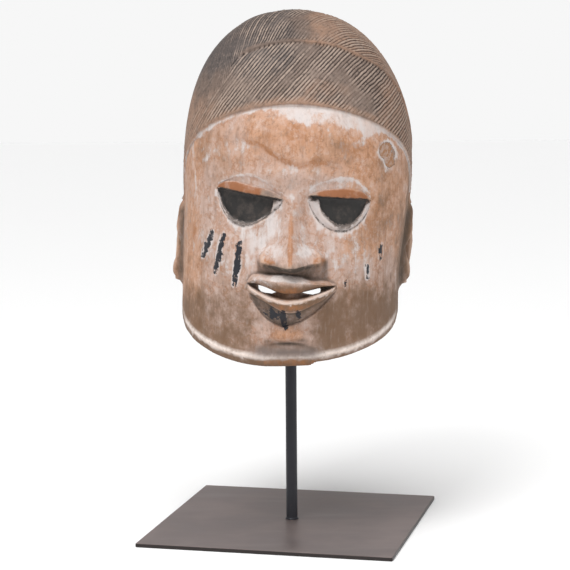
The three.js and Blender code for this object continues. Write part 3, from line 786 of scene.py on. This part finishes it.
def shell_mesh(name, grid, inner_apex, outer_apex):
    """A closed mesh of quads from a grid that goes up inside, round the rim and over the crown."""
    count, columns = grid.shape[:2]
    points = np.concatenate([grid.reshape(-1, 3), [inner_apex, outer_apex]])
    i, j = np.meshgrid(np.arange(count - 1), np.arange(columns), indexing="ij")
    k = (j + 1) % columns
    quads = np.stack([i * columns + j, i * columns + k, (i + 1) * columns + k, (i + 1) * columns + j], -1)
    quads = quads.reshape(-1, 4)
    j = np.arange(columns)
    k = (j + 1) % columns
    bottom_fan = np.stack([k, j, np.full(columns, len(points) - 2)], -1)
    last = (count - 1) * columns
    top_fan = np.stack([last + j, last + k, np.full(columns, len(points) - 1)], -1)
    corners = np.concatenate([quads.ravel(), bottom_fan.ravel(), top_fan.ravel()])
    sizes = np.concatenate([np.full(len(quads), 4), np.full(2 * columns, 3)])
    mesh = bpy.data.meshes.new(name)
    mesh.vertices.add(len(points))
    mesh.vertices.foreach_set("co", points.astype(np.float32).ravel())
    mesh.loops.add(len(corners))
    mesh.loops.foreach_set("vertex_index", corners.astype(np.int32))
    mesh.polygons.add(len(sizes))
    mesh.polygons.foreach_set("loop_start", np.concatenate([[0], np.cumsum(sizes)[:-1]]).astype(np.int32))
    mesh.update(calc_edges=True)
    return mesh


mask_mesh = shell_mesh("mask", rows, (0, 0, inner_top), (0, 0, CROWN_TOP + HAIR_THICKNESS - 0.4))
SMOOTH_FIELDS = dict(
    hair=in_hair, strand=strand, comb=comb, chalk=chalk, rubbed=rubbed, shade_and_soot=shade_and_soot, slate=slate,
    painted_highlight=painted_highlight, shade_and_stain=shade_and_stain, relief_shade_and_wear=relief_shade_and_wear, warm=warm)
EDGED_FIELDS = dict(eye_paint, scar=scar, mark=np.maximum(scar, chin_mark), flake=flake)
fields = {name: all_rows(field) for name, field in SMOOTH_FIELDS.items()}
fields |= {name: all_rows(field, FAR) for name, field in EDGED_FIELDS.items()}
fields["inside"] = all_rows(0 * x, 1.0)
for field_name, field in fields.items():
    ends = [field[0, 0], field[-1, 0]]
    attribute = mask_mesh.attributes.new(field_name, "FLOAT", "POINT")
    attribute.data.foreach_set("value", np.concatenate([field.ravel(), ends]).astype(np.float32))
print("dense shell: %d points" % len(mask_mesh.vertices))

# %% [markdown]
# ## Combing the hair with Geometry Nodes
# Cutting a few hundred grooves by hand would be slow and hard to change, and a bump map would leave
# the outline smooth. A node tree reads the strand number of each point, finds how far the point is
# from the middle of its strand, and pushes it in along its normal. The same tree leaves the gouge
# marks of the hollow and the knife marks of the face. Depth, width and seed are named inputs.

# %% A short hand for node trees
class Wiring:
    """Adds nodes to one tree and gives back their sockets."""

    def __init__(self, tree):
        self.tree = tree

    def feed(self, sockets, sources):
        """Links each source to its socket, or writes it there when it is a plain value."""
        for socket, source in zip(sockets, sources):
            if isinstance(source, bpy.types.NodeSocket):
                self.tree.links.new(source, socket)
            else:
                socket.default_value = source

    def node(self, kind, *sources, **settings):
        """A node with its settings made and its inputs fed in order."""
        made = self.tree.nodes.new(kind)
        for key, value in settings.items():
            setattr(made, key, value)
        self.feed([s for s in made.inputs if s.enabled], sources)
        return made

    def plug(self, made, sources):
        """Feeds the inputs of a node by their names."""
        self.feed([made.inputs[name] for name in sources], sources.values())
        return made

    def calc(self, operation, *values):
        return self.node("ShaderNodeMath", *values, operation=operation).outputs[0]

    def plus(self, one, other):
        return self.calc("ADD", one, other)

    def minus(self, one, other):
        return self.calc("SUBTRACT", one, other)

    def times(self, one, other):
        return self.calc("MULTIPLY", one, other)

    def step(self, value, low, high, to_low=0.0, to_high=1.0):
        """A smooth step from to_low to to_high as value goes from low to high."""
        return self.node("ShaderNodeMapRange", value, low, high, to_low, to_high,
                         interpolation_type="SMOOTHSTEP").outputs[0]


# %% Build the carving tree
CARVING = {"Groove depth": 0.85, "Groove width": 0.3, "Worn depth": 0.3, "Gouge depth": 1.6,
           "Knife marks": 0.9, "Seed": 3.0}


def carving_tree(wood):
    tree = bpy.data.node_groups.new("comb_and_gouge", "GeometryNodeTree")
    for way in ("INPUT", "OUTPUT"):
        tree.interface.new_socket("Geometry", in_out=way, socket_type="NodeSocketGeometry")
    for name, value in CARVING.items():
        tree.interface.new_socket(name, in_out="INPUT", socket_type="NodeSocketFloat").default_value = value
    t = Wiring(tree)
    given = t.node("NodeGroupInput").outputs
    place = t.node("GeometryNodeInputPosition").outputs[0]

    def noise(scale, detail):
        """Noise from 0 to 1 that changes with the seed."""
        return t.node("ShaderNodeTexNoise", place, given["Seed"], scale, detail,
                      noise_dimensions="4D").outputs[0]

    def stored(name):
        return t.node("GeometryNodeInputNamedAttribute", name, data_type="FLOAT").outputs["Attribute"]

    drift = t.plus(t.times(noise(0.035, 2.0), 0.9), t.times(noise(0.16, 2.0), 0.5))
    phase = t.plus(stored("strand"), drift)
    tone = t.node("ShaderNodeTexWhiteNoise", t.calc("FLOOR", phase), noise_dimensions="1D").outputs["Value"]
    within = t.calc("ABSOLUTE", t.minus(t.calc("FRACT", phase), 0.5))
    cut = t.step(within, t.minus(0.5, given["Groove width"]), 0.5)
    wear = t.step(noise(0.045, 4.0), 0.34, 0.54, given["Worn depth"], 1.0)
    comb = t.times(stored("comb"), wear)
    groove = t.times(cut, comb)
    uneven = t.times(t.minus(tone, 0.5), t.times(comb, 0.22))
    hair_cut = t.minus(uneven, t.times(groove, given["Groove depth"]))

    gouge = t.node("ShaderNodeTexVoronoi", place, 0.085, feature="SMOOTH_F1").outputs["Distance"]
    gouged = t.times(t.times(t.times(gouge, gouge), given["Gouge depth"]), stored("inside"))
    bare_wood = t.minus(1.0, stored("hair"))
    planed = t.times(t.minus(noise(0.07, 3.0), 0.5), t.times(bare_wood, given["Knife marks"]))
    lift = t.plus(hair_cut, t.plus(planed, gouged))
    normal = t.node("GeometryNodeInputNormal").outputs[0]
    push = t.plug(t.node("ShaderNodeVectorMath", operation="SCALE"), {"Vector": normal, "Scale": lift})

    geometry = given["Geometry"]
    for name, value in {"groove": groove, "tone": tone, "sharp": comb}.items():
        kept = t.node("GeometryNodeStoreNamedAttribute", data_type="FLOAT", domain="POINT")
        geometry = t.plug(kept, {"Geometry": geometry, "Name": name, "Value": value}).outputs["Geometry"]
    moved = t.plug(t.node("GeometryNodeSetPosition"), {"Geometry": geometry, "Offset": push.outputs[0]})
    real = t.node("GeometryNodeRealizeInstances", moved.outputs[0])
    coated = t.plug(t.node("GeometryNodeSetMaterial"), {"Geometry": real.outputs[0], "Material": wood})
    t.node("NodeGroupOutput", coated.outputs[0])
    return tree


wood = node_material("carved_wood")


def as_plain_mesh(piece, name):
    """The evaluated result as a mesh of its own, with the modifiers gone."""
    bpy.context.view_layer.update()
    made = bpy.data.meshes.new_from_object(piece.evaluated_get(bpy.context.evaluated_depsgraph_get()))
    piece.modifiers.clear()
    piece.data = made
    made.name = name
    return made


mask_mesh.materials.append(wood)
mask = add_object("helmet_mask", mask_mesh)
carve = mask.modifiers.new("carve", "NODES")
carve.node_group = carving_tree(wood)
for socket in carve.node_group.interface.items_tree:
    if socket.in_out == "INPUT" and socket.name in CARVING:
        carve[socket.identifier] = CARVING[socket.name]
as_plain_mesh(mask, "combed")
print("combed: %d points" % len(mask.data.vertices))

# %% [markdown]
# ## Thinning and piercing
# So many points are only needed where the knife was. Collapsing edges keeps the grooves, lids and
# lips and spends little on smooth wood. A weight group holds the face back, because its paint is
# read from the points too. Then two pointed slots are driven through between the lips.

# %% Thin the shell and cut the mouth slots
TRIANGLES = 176000
FACE_WEIGHT = 0.25
WEIGHT_PULL = 0.006
SLOTS = {
    "left": [(-23.1, 205.9), (-19.6, 205.1), (-14.7, 203.3), (-9.4, 200.8), (-12.8, 199.6), (-17.7, 200.1),
             (-20.8, 201.0), (-22.7, 202.8)],
    "right": [(9.7, 200.7), (14.0, 201.9), (18.8, 203.2), (22.5, 204.2), (23.4, 203.6), (23.2, 201.4),
              (21.9, 200.5), (17.7, 199.3), (13.4, 199.8)],
}
SLOT_DROP = math.radians(7)
SLOT_REACH = (-34.0, 30.0)
LIP_DISTANCE = 108.0
face_points = np.flatnonzero(all_rows(on_face).ravel() > 0.5)
group = mask.vertex_groups.new(name="thin")
group.add(range(len(mask.data.vertices)), 1.0, "REPLACE")
group.add(face_points.tolist(), FACE_WEIGHT, "REPLACE")
thin = mask.modifiers.new("thin", "DECIMATE")
thin.ratio = TRIANGLES / (2 * len(mask.data.vertices))
thin.vertex_group = "thin"
thin.vertex_group_factor = WEIGHT_PULL
as_plain_mesh(mask, "thinned")
mask.vertex_groups.clear()
print("thinned: %d triangles" % sum(len(p.vertices) - 2 for p in mask.data.polygons))


def slot_cutter(outline):
    """A pointed prism, long enough to pass the lips and the wall, that sinks a little as it goes in."""
    shape = bmesh.new()
    rings = []
    for reach in SLOT_REACH:
        drop = -math.sin(SLOT_DROP) * reach
        rings.append([shape.verts.new((x, reach - LIP_DISTANCE, z + drop)) for x, z in outline])
    shape.faces.new(rings[0])
    shape.faces.new(rings[1][::-1])
    for k in range(len(outline)):
        n = (k + 1) % len(outline)
        shape.faces.new((rings[0][n], rings[0][k], rings[1][k], rings[1][n]))
    bmesh.ops.recalc_face_normals(shape, faces=shape.faces)
    mesh = bpy.data.meshes.new("slot")
    shape.to_mesh(mesh)
    shape.free()
    return mesh


for slot in SLOTS.values():
    cutter = add_object("cutter", slot_cutter(slot))
    pierce = mask.modifiers.new("pierce", "BOOLEAN")
    pierce.object = cutter
    pierce.operation = "DIFFERENCE"
    pierce.solver = "MANIFOLD"
    as_plain_mesh(mask, "pierced")
    bpy.data.objects.remove(cutter)
mask.data.shade_smooth()
place = (Matrix.Translation((AXIS_X * MM, 0, LEAN_PIVOT * MM)) @ Matrix.Rotation(LEAN, 4, "Y")
         @ Matrix.Translation((0, 0, -LEAN_PIVOT * MM)) @ Matrix.Scale(MM, 4))
mask.data.transform(place)
mask.data.update()
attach(mask, "root")
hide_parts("mask")
print("pierced: %d faces, materials %s" % (len(mask.data.polygons), list(mask.data.materials)))

# %% [markdown]
# ## The colour of the wood
# The wood is light and orange-brown, and a pinkish ground covers it. The material starts from that
# ground, lets the wood show where hands and years rubbed it, and then lays chalk, grime with painted
# shade, painted highlights, the painted eyes and the resin of the scars over it. Each layer is broken
# up by noise on the object's own place, and the wood grain runs up and down, so its noise is
# stretched that way.

# %% Lay the colours over each other
def srgb(r, g, b):
    """A colour as an eye reads it, turned into the light values that the shader needs."""
    return tuple(((c / 255 + 0.055) / 1.055) ** 2.4 for c in (r, g, b)) + (1.0,)


WOOD = dict(
    ground=srgb(178, 150, 136), warm=srgb(184, 140, 111), ochre=srgb(154, 101, 60),
    brown=srgb(108, 82, 61), chalk=srgb(200, 193, 191), bright=srgb(218, 206, 199),
    dirt_and_shade=srgb(88, 70, 58), edge_highlight_and_wear=srgb(206, 176, 156), shade_and_soot=srgb(66, 57, 49), slate=srgb(106, 95, 90),
    black=srgb(36, 34, 33), black_worn_and_sheen=srgb(84, 74, 68), resin=srgb(33, 34, 40), lid=srgb(138, 86, 52),
    rim=srgb(182, 173, 170), hair=srgb(104, 88, 79), hair_light=srgb(164, 145, 132),
    hair_warm=srgb(142, 112, 93), hair_dark=srgb(76, 69, 67), groove=srgb(44, 37, 33),
    inside=srgb(150, 118, 90), raw=srgb(152, 111, 80),
)


class Layers(Wiring):
    """Builds one surface: each call lays a colour over what is there."""

    def __init__(self, material, first):
        super().__init__(material.node_tree)
        self.tree.nodes.clear()
        self.place = self.node("ShaderNodeTexCoord").outputs["Object"]
        self.begin(first)

    def begin(self, colour):
        """Starts a new stack of layers from one plain colour."""
        self.colour = self.node("ShaderNodeRGB").outputs[0]
        self.colour.default_value = colour

    def noise(self, size, detail=3.0, rough=0.55, stretch=(1, 1, 1), shift=0.0):
        """Noise from 0 to 1 with blobs of about size metres."""
        spread = self.node("ShaderNodeMapping", self.place, (shift, shift, shift), (0, 0, 0), stretch)
        return self.node("ShaderNodeTexNoise", spread.outputs[0], 0.5 / size, detail, rough).outputs[0]

    def field(self, name):
        return self.node("ShaderNodeAttribute", attribute_name=name).outputs["Fac"]

    def wander(self, noise, amount):
        """Noise on both sides of zero."""
        return self.times(self.minus(noise, 0.5), amount)

    def stirred(self, name, *noises):
        """A field with some noises added, each given with its amount."""
        value = self.field(name)
        for noise, amount in noises:
            value = self.plus(value, self.wander(noise, amount))
        return value

    def ragged(self, name, noise, spread, soft):
        """A field in millimetres with its edge moved in and out by noise: 1 inside."""
        return self.step(self.stirred(name, (noise, spread)), -soft, soft)

    def lay(self, factor, colour):
        """Covers the surface with a colour, which is a name in WOOD, a value or a socket."""
        if isinstance(colour, str):
            colour = WOOD[colour]
        mix = self.node("ShaderNodeMix", data_type="RGBA", clamp_factor=True)
        self.feed((mix.inputs["Factor"], mix.inputs[6], mix.inputs[7]), (factor, self.colour, colour))
        self.colour = mix.outputs[2]

    def fleck(self, value, low, high, strength, colour):
        """Lays a colour that grows from nothing to strength as value goes from low to high."""
        self.lay(self.step(value, low, high, 0, strength), colour)

    def broken(self, factor, noise, low, high, to_low, to_high, colour):
        """Lays a colour by a factor that noise makes weaker in places."""
        self.lay(self.times(factor, self.step(noise, low, high, to_low, to_high)), colour)

    def coat(self, relief, strength, distance, inputs):
        """Ends the surface in one shader with a fine bump."""
        grain = self.plug(self.node("ShaderNodeBump", strength, distance), {"Height": relief})
        looks = {"Base Color": self.colour, "Normal": grain.outputs[0]}
        shader = self.plug(self.node("ShaderNodeBsdfPrincipled"), looks | inputs)
        self.plug(self.node("ShaderNodeOutputMaterial"), {"Surface": shader.outputs[0]})


def lay_ground(w, streak, cloud, mottle, vein):
    """Warm and brown places in the ground, darker places of stain and painted shade, and the wood where it is
    rubbed through.
    """
    w.fleck(w.stirred("warm", (cloud, 2.4)), 0.1, 0.9, 0.95, "warm")
    w.fleck(mottle, 0.5, 0.34, 0.22, "chalk")
    w.fleck(mottle, 0.54, 0.72, 0.42, "brown")
    w.fleck(cloud, 0.5, 0.68, 0.3, "brown")
    w.fleck(w.calc("ABSOLUTE", w.minus(vein, 0.5)), 0.035, 0.0, 0.45, "ochre")
    w.fleck(streak, 0.52, 0.72, 0.35, "brown")
    # Stain and painted shade in brown.
    w.fleck(w.stirred("shade_and_stain", (mottle, 1.3), (cloud, 1.6)), 0.0, 0.95, 0.92, "brown")
    w.fleck(w.stirred("rubbed", (streak, 1.4)), 0.2, 0.95, 0.85, "ochre")


def lay_chalk(w, grain, streak, cloud, mottle, speck):
    """Chalk, a painted highlight at the rim's edge and on the upper lip, the grain, on raised edges a painted
    highlight with wear, and in corners painted shade with grime.
    """
    chalky = w.step(w.stirred("chalk", (mottle, 2.4), (streak, 1.3), (speck, 0.7)), 0.25, 0.85, 0, 0.88)
    chalky = w.times(chalky, w.step(w.plus(streak, cloud), 0.75, 1.15, 0.62, 1.0))
    w.broken(chalky, w.field("chalk"), 0.0, 0.35, 0.1, 1.0, "chalk")
    # Painted highlight along the rim's edge and on the upper lip.
    w.broken(w.field("painted_highlight"), mottle, 0.35, 0.65, 1.3, 0.85, "bright")
    w.fleck(grain, 0.5, 0.75, 0.22, "dirt_and_shade")
    w.fleck(grain, 0.46, 0.25, 0.12, "chalk")
    w.broken(w.step(speck, 0.53, 0.7), chalky, 0.2, 0.8, 0.38, 0.1, "brown")
    w.broken(w.step(speck, 0.46, 0.3), w.field("shade_and_stain"), 0.5, 0.1, 0, 0.2, "chalk")
    # Painted highlight with wear on raised edges, painted shade with grime in hollows.
    w.fleck(w.field("relief_shade_and_wear"), -0.1, -0.8, 0.55, "edge_highlight_and_wear")
    w.fleck(w.field("relief_shade_and_wear"), 0.15, 0.9, 0.6, "dirt_and_shade")


def lay_flake(w, mottle, speck, vein):
    """A patch where the paint has come off, with pale paint and a line of grime round it."""
    flake_edge = w.stirred("flake", (mottle, 8.0))
    near_flake = w.step(w.plus(flake_edge, w.wander(speck, 5.0)), -3.6, -1.2, 0, 0.9)
    w.broken(near_flake, vein, 0.42, 0.56, 0.15, 1.0, "chalk")
    w.fleck(w.calc("ABSOLUTE", flake_edge), 0.7, 0.3, 0.7, "dirt_and_shade")
    w.broken(w.step(flake_edge, -0.3, 0.3), speck, 0.6, 0.45, 0.6, 1.0, "raw")


def lay_paint(w, streak, cloud, mottle, speck):
    """Slate, soot and painted shade, lids, eyes and scars. Gives back where the paint is black and where
    there is resin.
    """
    w.broken(w.field("slate"), streak, 0.3, 0.5, 0.65, 0.95, "slate")
    # Dark paint with painted shade under the nose and lips, in creases and in the ears.
    w.broken(w.field("shade_and_soot"), streak, 0.3, 0.6, 0.7, 1.0, "shade_and_soot")
    w.broken(w.ragged("lid", mottle, 2.6, 0.7), mottle, 0.35, 0.5, 0.7, 0.95, "lid")
    w.broken(w.ragged("white_rim", mottle, 3.0, 0.7), speck, 0.65, 0.4, 0.4, 0.9, "rim")
    w.broken(w.ragged("cut_line", mottle, 3.0, 0.5), speck, 0.6, 0.4, 0.2, 0.85, "shade_and_soot")
    near_black = w.step(w.stirred("black", (speck, 7.0), (mottle, 7.0)), -2.8, -0.2, 0, 0.85)
    w.broken(near_black, w.field("white_rim"), -0.6, 0.2, 0, 1, "black_worn_and_sheen")
    black = w.step(w.stirred("black", (speck, 2.4), (mottle, 4.0)), -0.35, 0.35)
    w.lay(black, "black")
    # Grey patches on the black paint: wear, with a painted sheen.
    w.broken(black, w.plus(mottle, cloud), 1.0, 1.3, 0, 0.55, "black_worn_and_sheen")
    w.lay(w.times(w.ragged("lash", streak, 1.6, 0.35), 0.85), "black")
    w.broken(w.step(w.field("scar"), -1.9, -0.4), streak, 0.42, 0.58, 0.0, 0.75, "chalk")
    resin = w.times(w.ragged("mark", speck, 6.4, 0.3), w.step(mottle, 0.34, 0.42))
    w.lay(resin, "resin")
    return black, resin


def lay_hair(w, grain, cloud, mottle, speck):
    """Dark hair over everything else, with a painted highlight on its ridges and painted shade in its grooves
    and hollows.
    """
    skin = w.colour
    w.begin(WOOD["hair"])
    tint = w.stirred("warm", (cloud, 2.0))
    w.fleck(tint, 0.1, 0.9, 1.0, "hair_warm")
    w.fleck(tint, -0.1, -0.8, 1.0, "hair_dark")
    w.fleck(mottle, 0.5, 0.72, 0.6, "hair_dark")
    # Painted highlight on the ridges between the grooves.
    ridge = w.times(w.step(w.field("groove"), 0.35, 0.0), w.field("comb"))
    ridge = w.times(ridge, w.step(w.field("sharp"), 0.2, 0.95, 0.3, 1.0))
    strand_tone = w.plus(w.times(w.field("tone"), 0.4), mottle)
    w.broken(ridge, strand_tone, 0.45, 0.95, 0.2, 0.95, "hair_light")
    # Painted shade in the grooves.
    w.fleck(w.field("groove"), 0.15, 0.8, 0.8, "groove")
    w.fleck(grain, 0.5, 0.8, 0.35, "groove")
    w.fleck(speck, 0.46, 0.28, 0.32, "hair_light")
    w.fleck(speck, 0.54, 0.7, 0.5, "groove")
    # Painted shade with some grime in the hollows.
    w.fleck(w.field("relief_shade_and_wear"), 0.1, 0.7, 0.5, "groove")
    combed = w.colour
    w.colour = skin
    w.lay(w.field("hair"), combed)


# %% Paint the mask
def paint_wood(material):
    w = Layers(material, WOOD["ground"])
    grain = w.noise(0.0008, 3, 0.6, (1, 1, 0.1))
    streak = w.noise(0.0026, 4, 0.65, (1, 1, 0.14), 1.7)
    cloud = w.noise(0.016, 4, 0.6, (1, 1, 0.8), 3.1)
    mottle = w.noise(0.005, 5, 0.7, (1, 1, 0.9), 5.3)
    speck = w.noise(0.0014, 3, 0.65, (1, 1, 0.8), 7.9)
    vein = w.noise(0.011, 5, 0.62, (1, 1, 1), 11.2)
    lay_ground(w, streak, cloud, mottle, vein)
    lay_chalk(w, grain, streak, cloud, mottle, speck)
    lay_flake(w, mottle, speck, vein)
    black, resin = lay_paint(w, streak, cloud, mottle, speck)
    lay_hair(w, grain, cloud, mottle, speck)
    w.lay(w.field("inside"), "inside")
    painted = w.calc("MAXIMUM", black, resin)
    rough = w.minus(w.step(mottle, 0.3, 0.7, 0.6, 0.8), w.times(painted, 0.22))
    relief = w.plus(w.times(grain, 0.6), w.times(speck, 0.5))
    w.coat(relief, 0.4, 0.0006, {"Roughness": rough, "Specular IOR Level": 0.35})
    return len(w.tree.nodes)


print("wood surface: %d nodes" % paint_wood(wood))

# %% [markdown]
# ## The rod and the plate
# The stand is plain mild steel: a round bar welded to the middle of a thin sheet, darkened and
# waxed. A turned profile gives the rod its small chamfer on top and the weld that swells at the
# foot. The plate is a thin box with its edges just broken, which is what catches the light.

# %% Turn the rod and lay the plate
ROD_RADIUS = 4.5
PLATE_SIDE = 200.0
PLATE_TURN = math.radians(-11.8)
PLATE_EDGE, PLATE_CORNER = 0.35, 0.6
ROD_CHAMFER = 0.6
STEEL_ROUGH = 0.42
ROD_SIDES = 64
rod_low, rod_high = (corner.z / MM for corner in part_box("post"))
plate_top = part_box("base_plate")[1].z / MM
WELD = [(0.9, 0.0), (0.75, 0.25), (0.35, 0.6), (0.1, 1.1), (0.0, 1.8)]


def finish_piece(shape, name, node, material):
    bmesh.ops.recalc_face_normals(shape, faces=shape.faces)
    mesh = bpy.data.meshes.new(name)
    shape.to_mesh(mesh)
    shape.free()
    mesh.transform(Matrix.Scale(MM, 4))
    mesh.materials.append(material)
    piece = add_object(name, mesh)
    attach(piece, "root")
    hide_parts(node)
    return piece


def turned_rod():
    shape = bmesh.new()
    profile = [(ROD_RADIUS + out, rod_low + lift) for out, lift in WELD]
    profile += [(ROD_RADIUS, rod_high - ROD_CHAMFER), (ROD_RADIUS - ROD_CHAMFER, rod_high)]
    rings = []
    for radius, level_z in profile:
        turns = np.linspace(0, 2 * math.pi, ROD_SIDES, endpoint=False)
        rings.append([shape.verts.new((radius * math.cos(t), radius * math.sin(t), level_z)) for t in turns])
    for low, high in zip(rings, rings[1:]):
        for k in range(ROD_SIDES):
            n = (k + 1) % ROD_SIDES
            shape.faces.new((low[k], low[n], high[n], high[k])).smooth = True
    shape.faces.new(rings[0][::-1])
    shape.faces.new(rings[-1])
    return shape


def thin_plate():
    shape = bmesh.new()
    bmesh.ops.create_cube(shape, size=1.0)
    bmesh.ops.scale(shape, vec=(PLATE_SIDE, PLATE_SIDE, plate_top), verts=shape.verts)
    bmesh.ops.translate(shape, vec=(0, 0, plate_top / 2), verts=shape.verts)
    standing = [e for e in shape.edges if abs(e.verts[0].co.z - e.verts[1].co.z) > 1]
    bmesh.ops.bevel(shape, geom=standing, offset=PLATE_CORNER, segments=3, affect="EDGES")
    flat = [e for e in shape.edges if abs(e.verts[0].co.z - e.verts[1].co.z) < 0.01 and len(e.link_faces) == 2
            and abs(e.link_faces[0].normal.z) != abs(e.link_faces[1].normal.z)]
    bmesh.ops.bevel(shape, geom=flat, offset=PLATE_EDGE, segments=2, affect="EDGES")
    bmesh.ops.rotate(shape, matrix=Matrix.Rotation(PLATE_TURN, 3, "Z"), verts=shape.verts)
    return shape


def steel(name, metal, dark, light, edge):
    """Dark steel with a brushed sheen, that has another colour below the plate's top edge."""
    material = node_material(name)
    w = Layers(material, srgb(*dark))
    brushed = w.noise(0.006, 4, 0.6, (0.15, 1, 1))
    cloud = w.noise(0.03, 4, 0.55)
    speck = w.noise(0.0012, 2)
    w.fleck(cloud, 0.35, 0.7, 0.8, srgb(*light))
    w.fleck(brushed, 0.45, 0.75, 0.35, srgb(*light))
    level = w.node("ShaderNodeSeparateXYZ", w.place).outputs["Z"]
    w.lay(w.step(level, (plate_top - 0.2) * MM, (plate_top - 0.5) * MM), srgb(*edge))
    rough = w.step(cloud, 0.3, 0.7, STEEL_ROUGH - 0.05, STEEL_ROUGH + 0.07)
    w.coat(speck, 0.12, 0.0002, {"Metallic": metal, "Roughness": rough})
    return material


rod_steel = steel("rod_steel", 0.3, (36, 37, 43), (48, 49, 57), (36, 37, 43))
plate_steel = steel("plate_steel", 0.65, (136, 123, 121), (164, 150, 147), (52, 47, 46))
rod = finish_piece(turned_rod(), "rod", "post", rod_steel)
plate = finish_piece(thin_plate(), "plate", "base_plate", plate_steel)
print("stand:", len(rod.data.polygons), "and", len(plate.data.polygons), "faces")
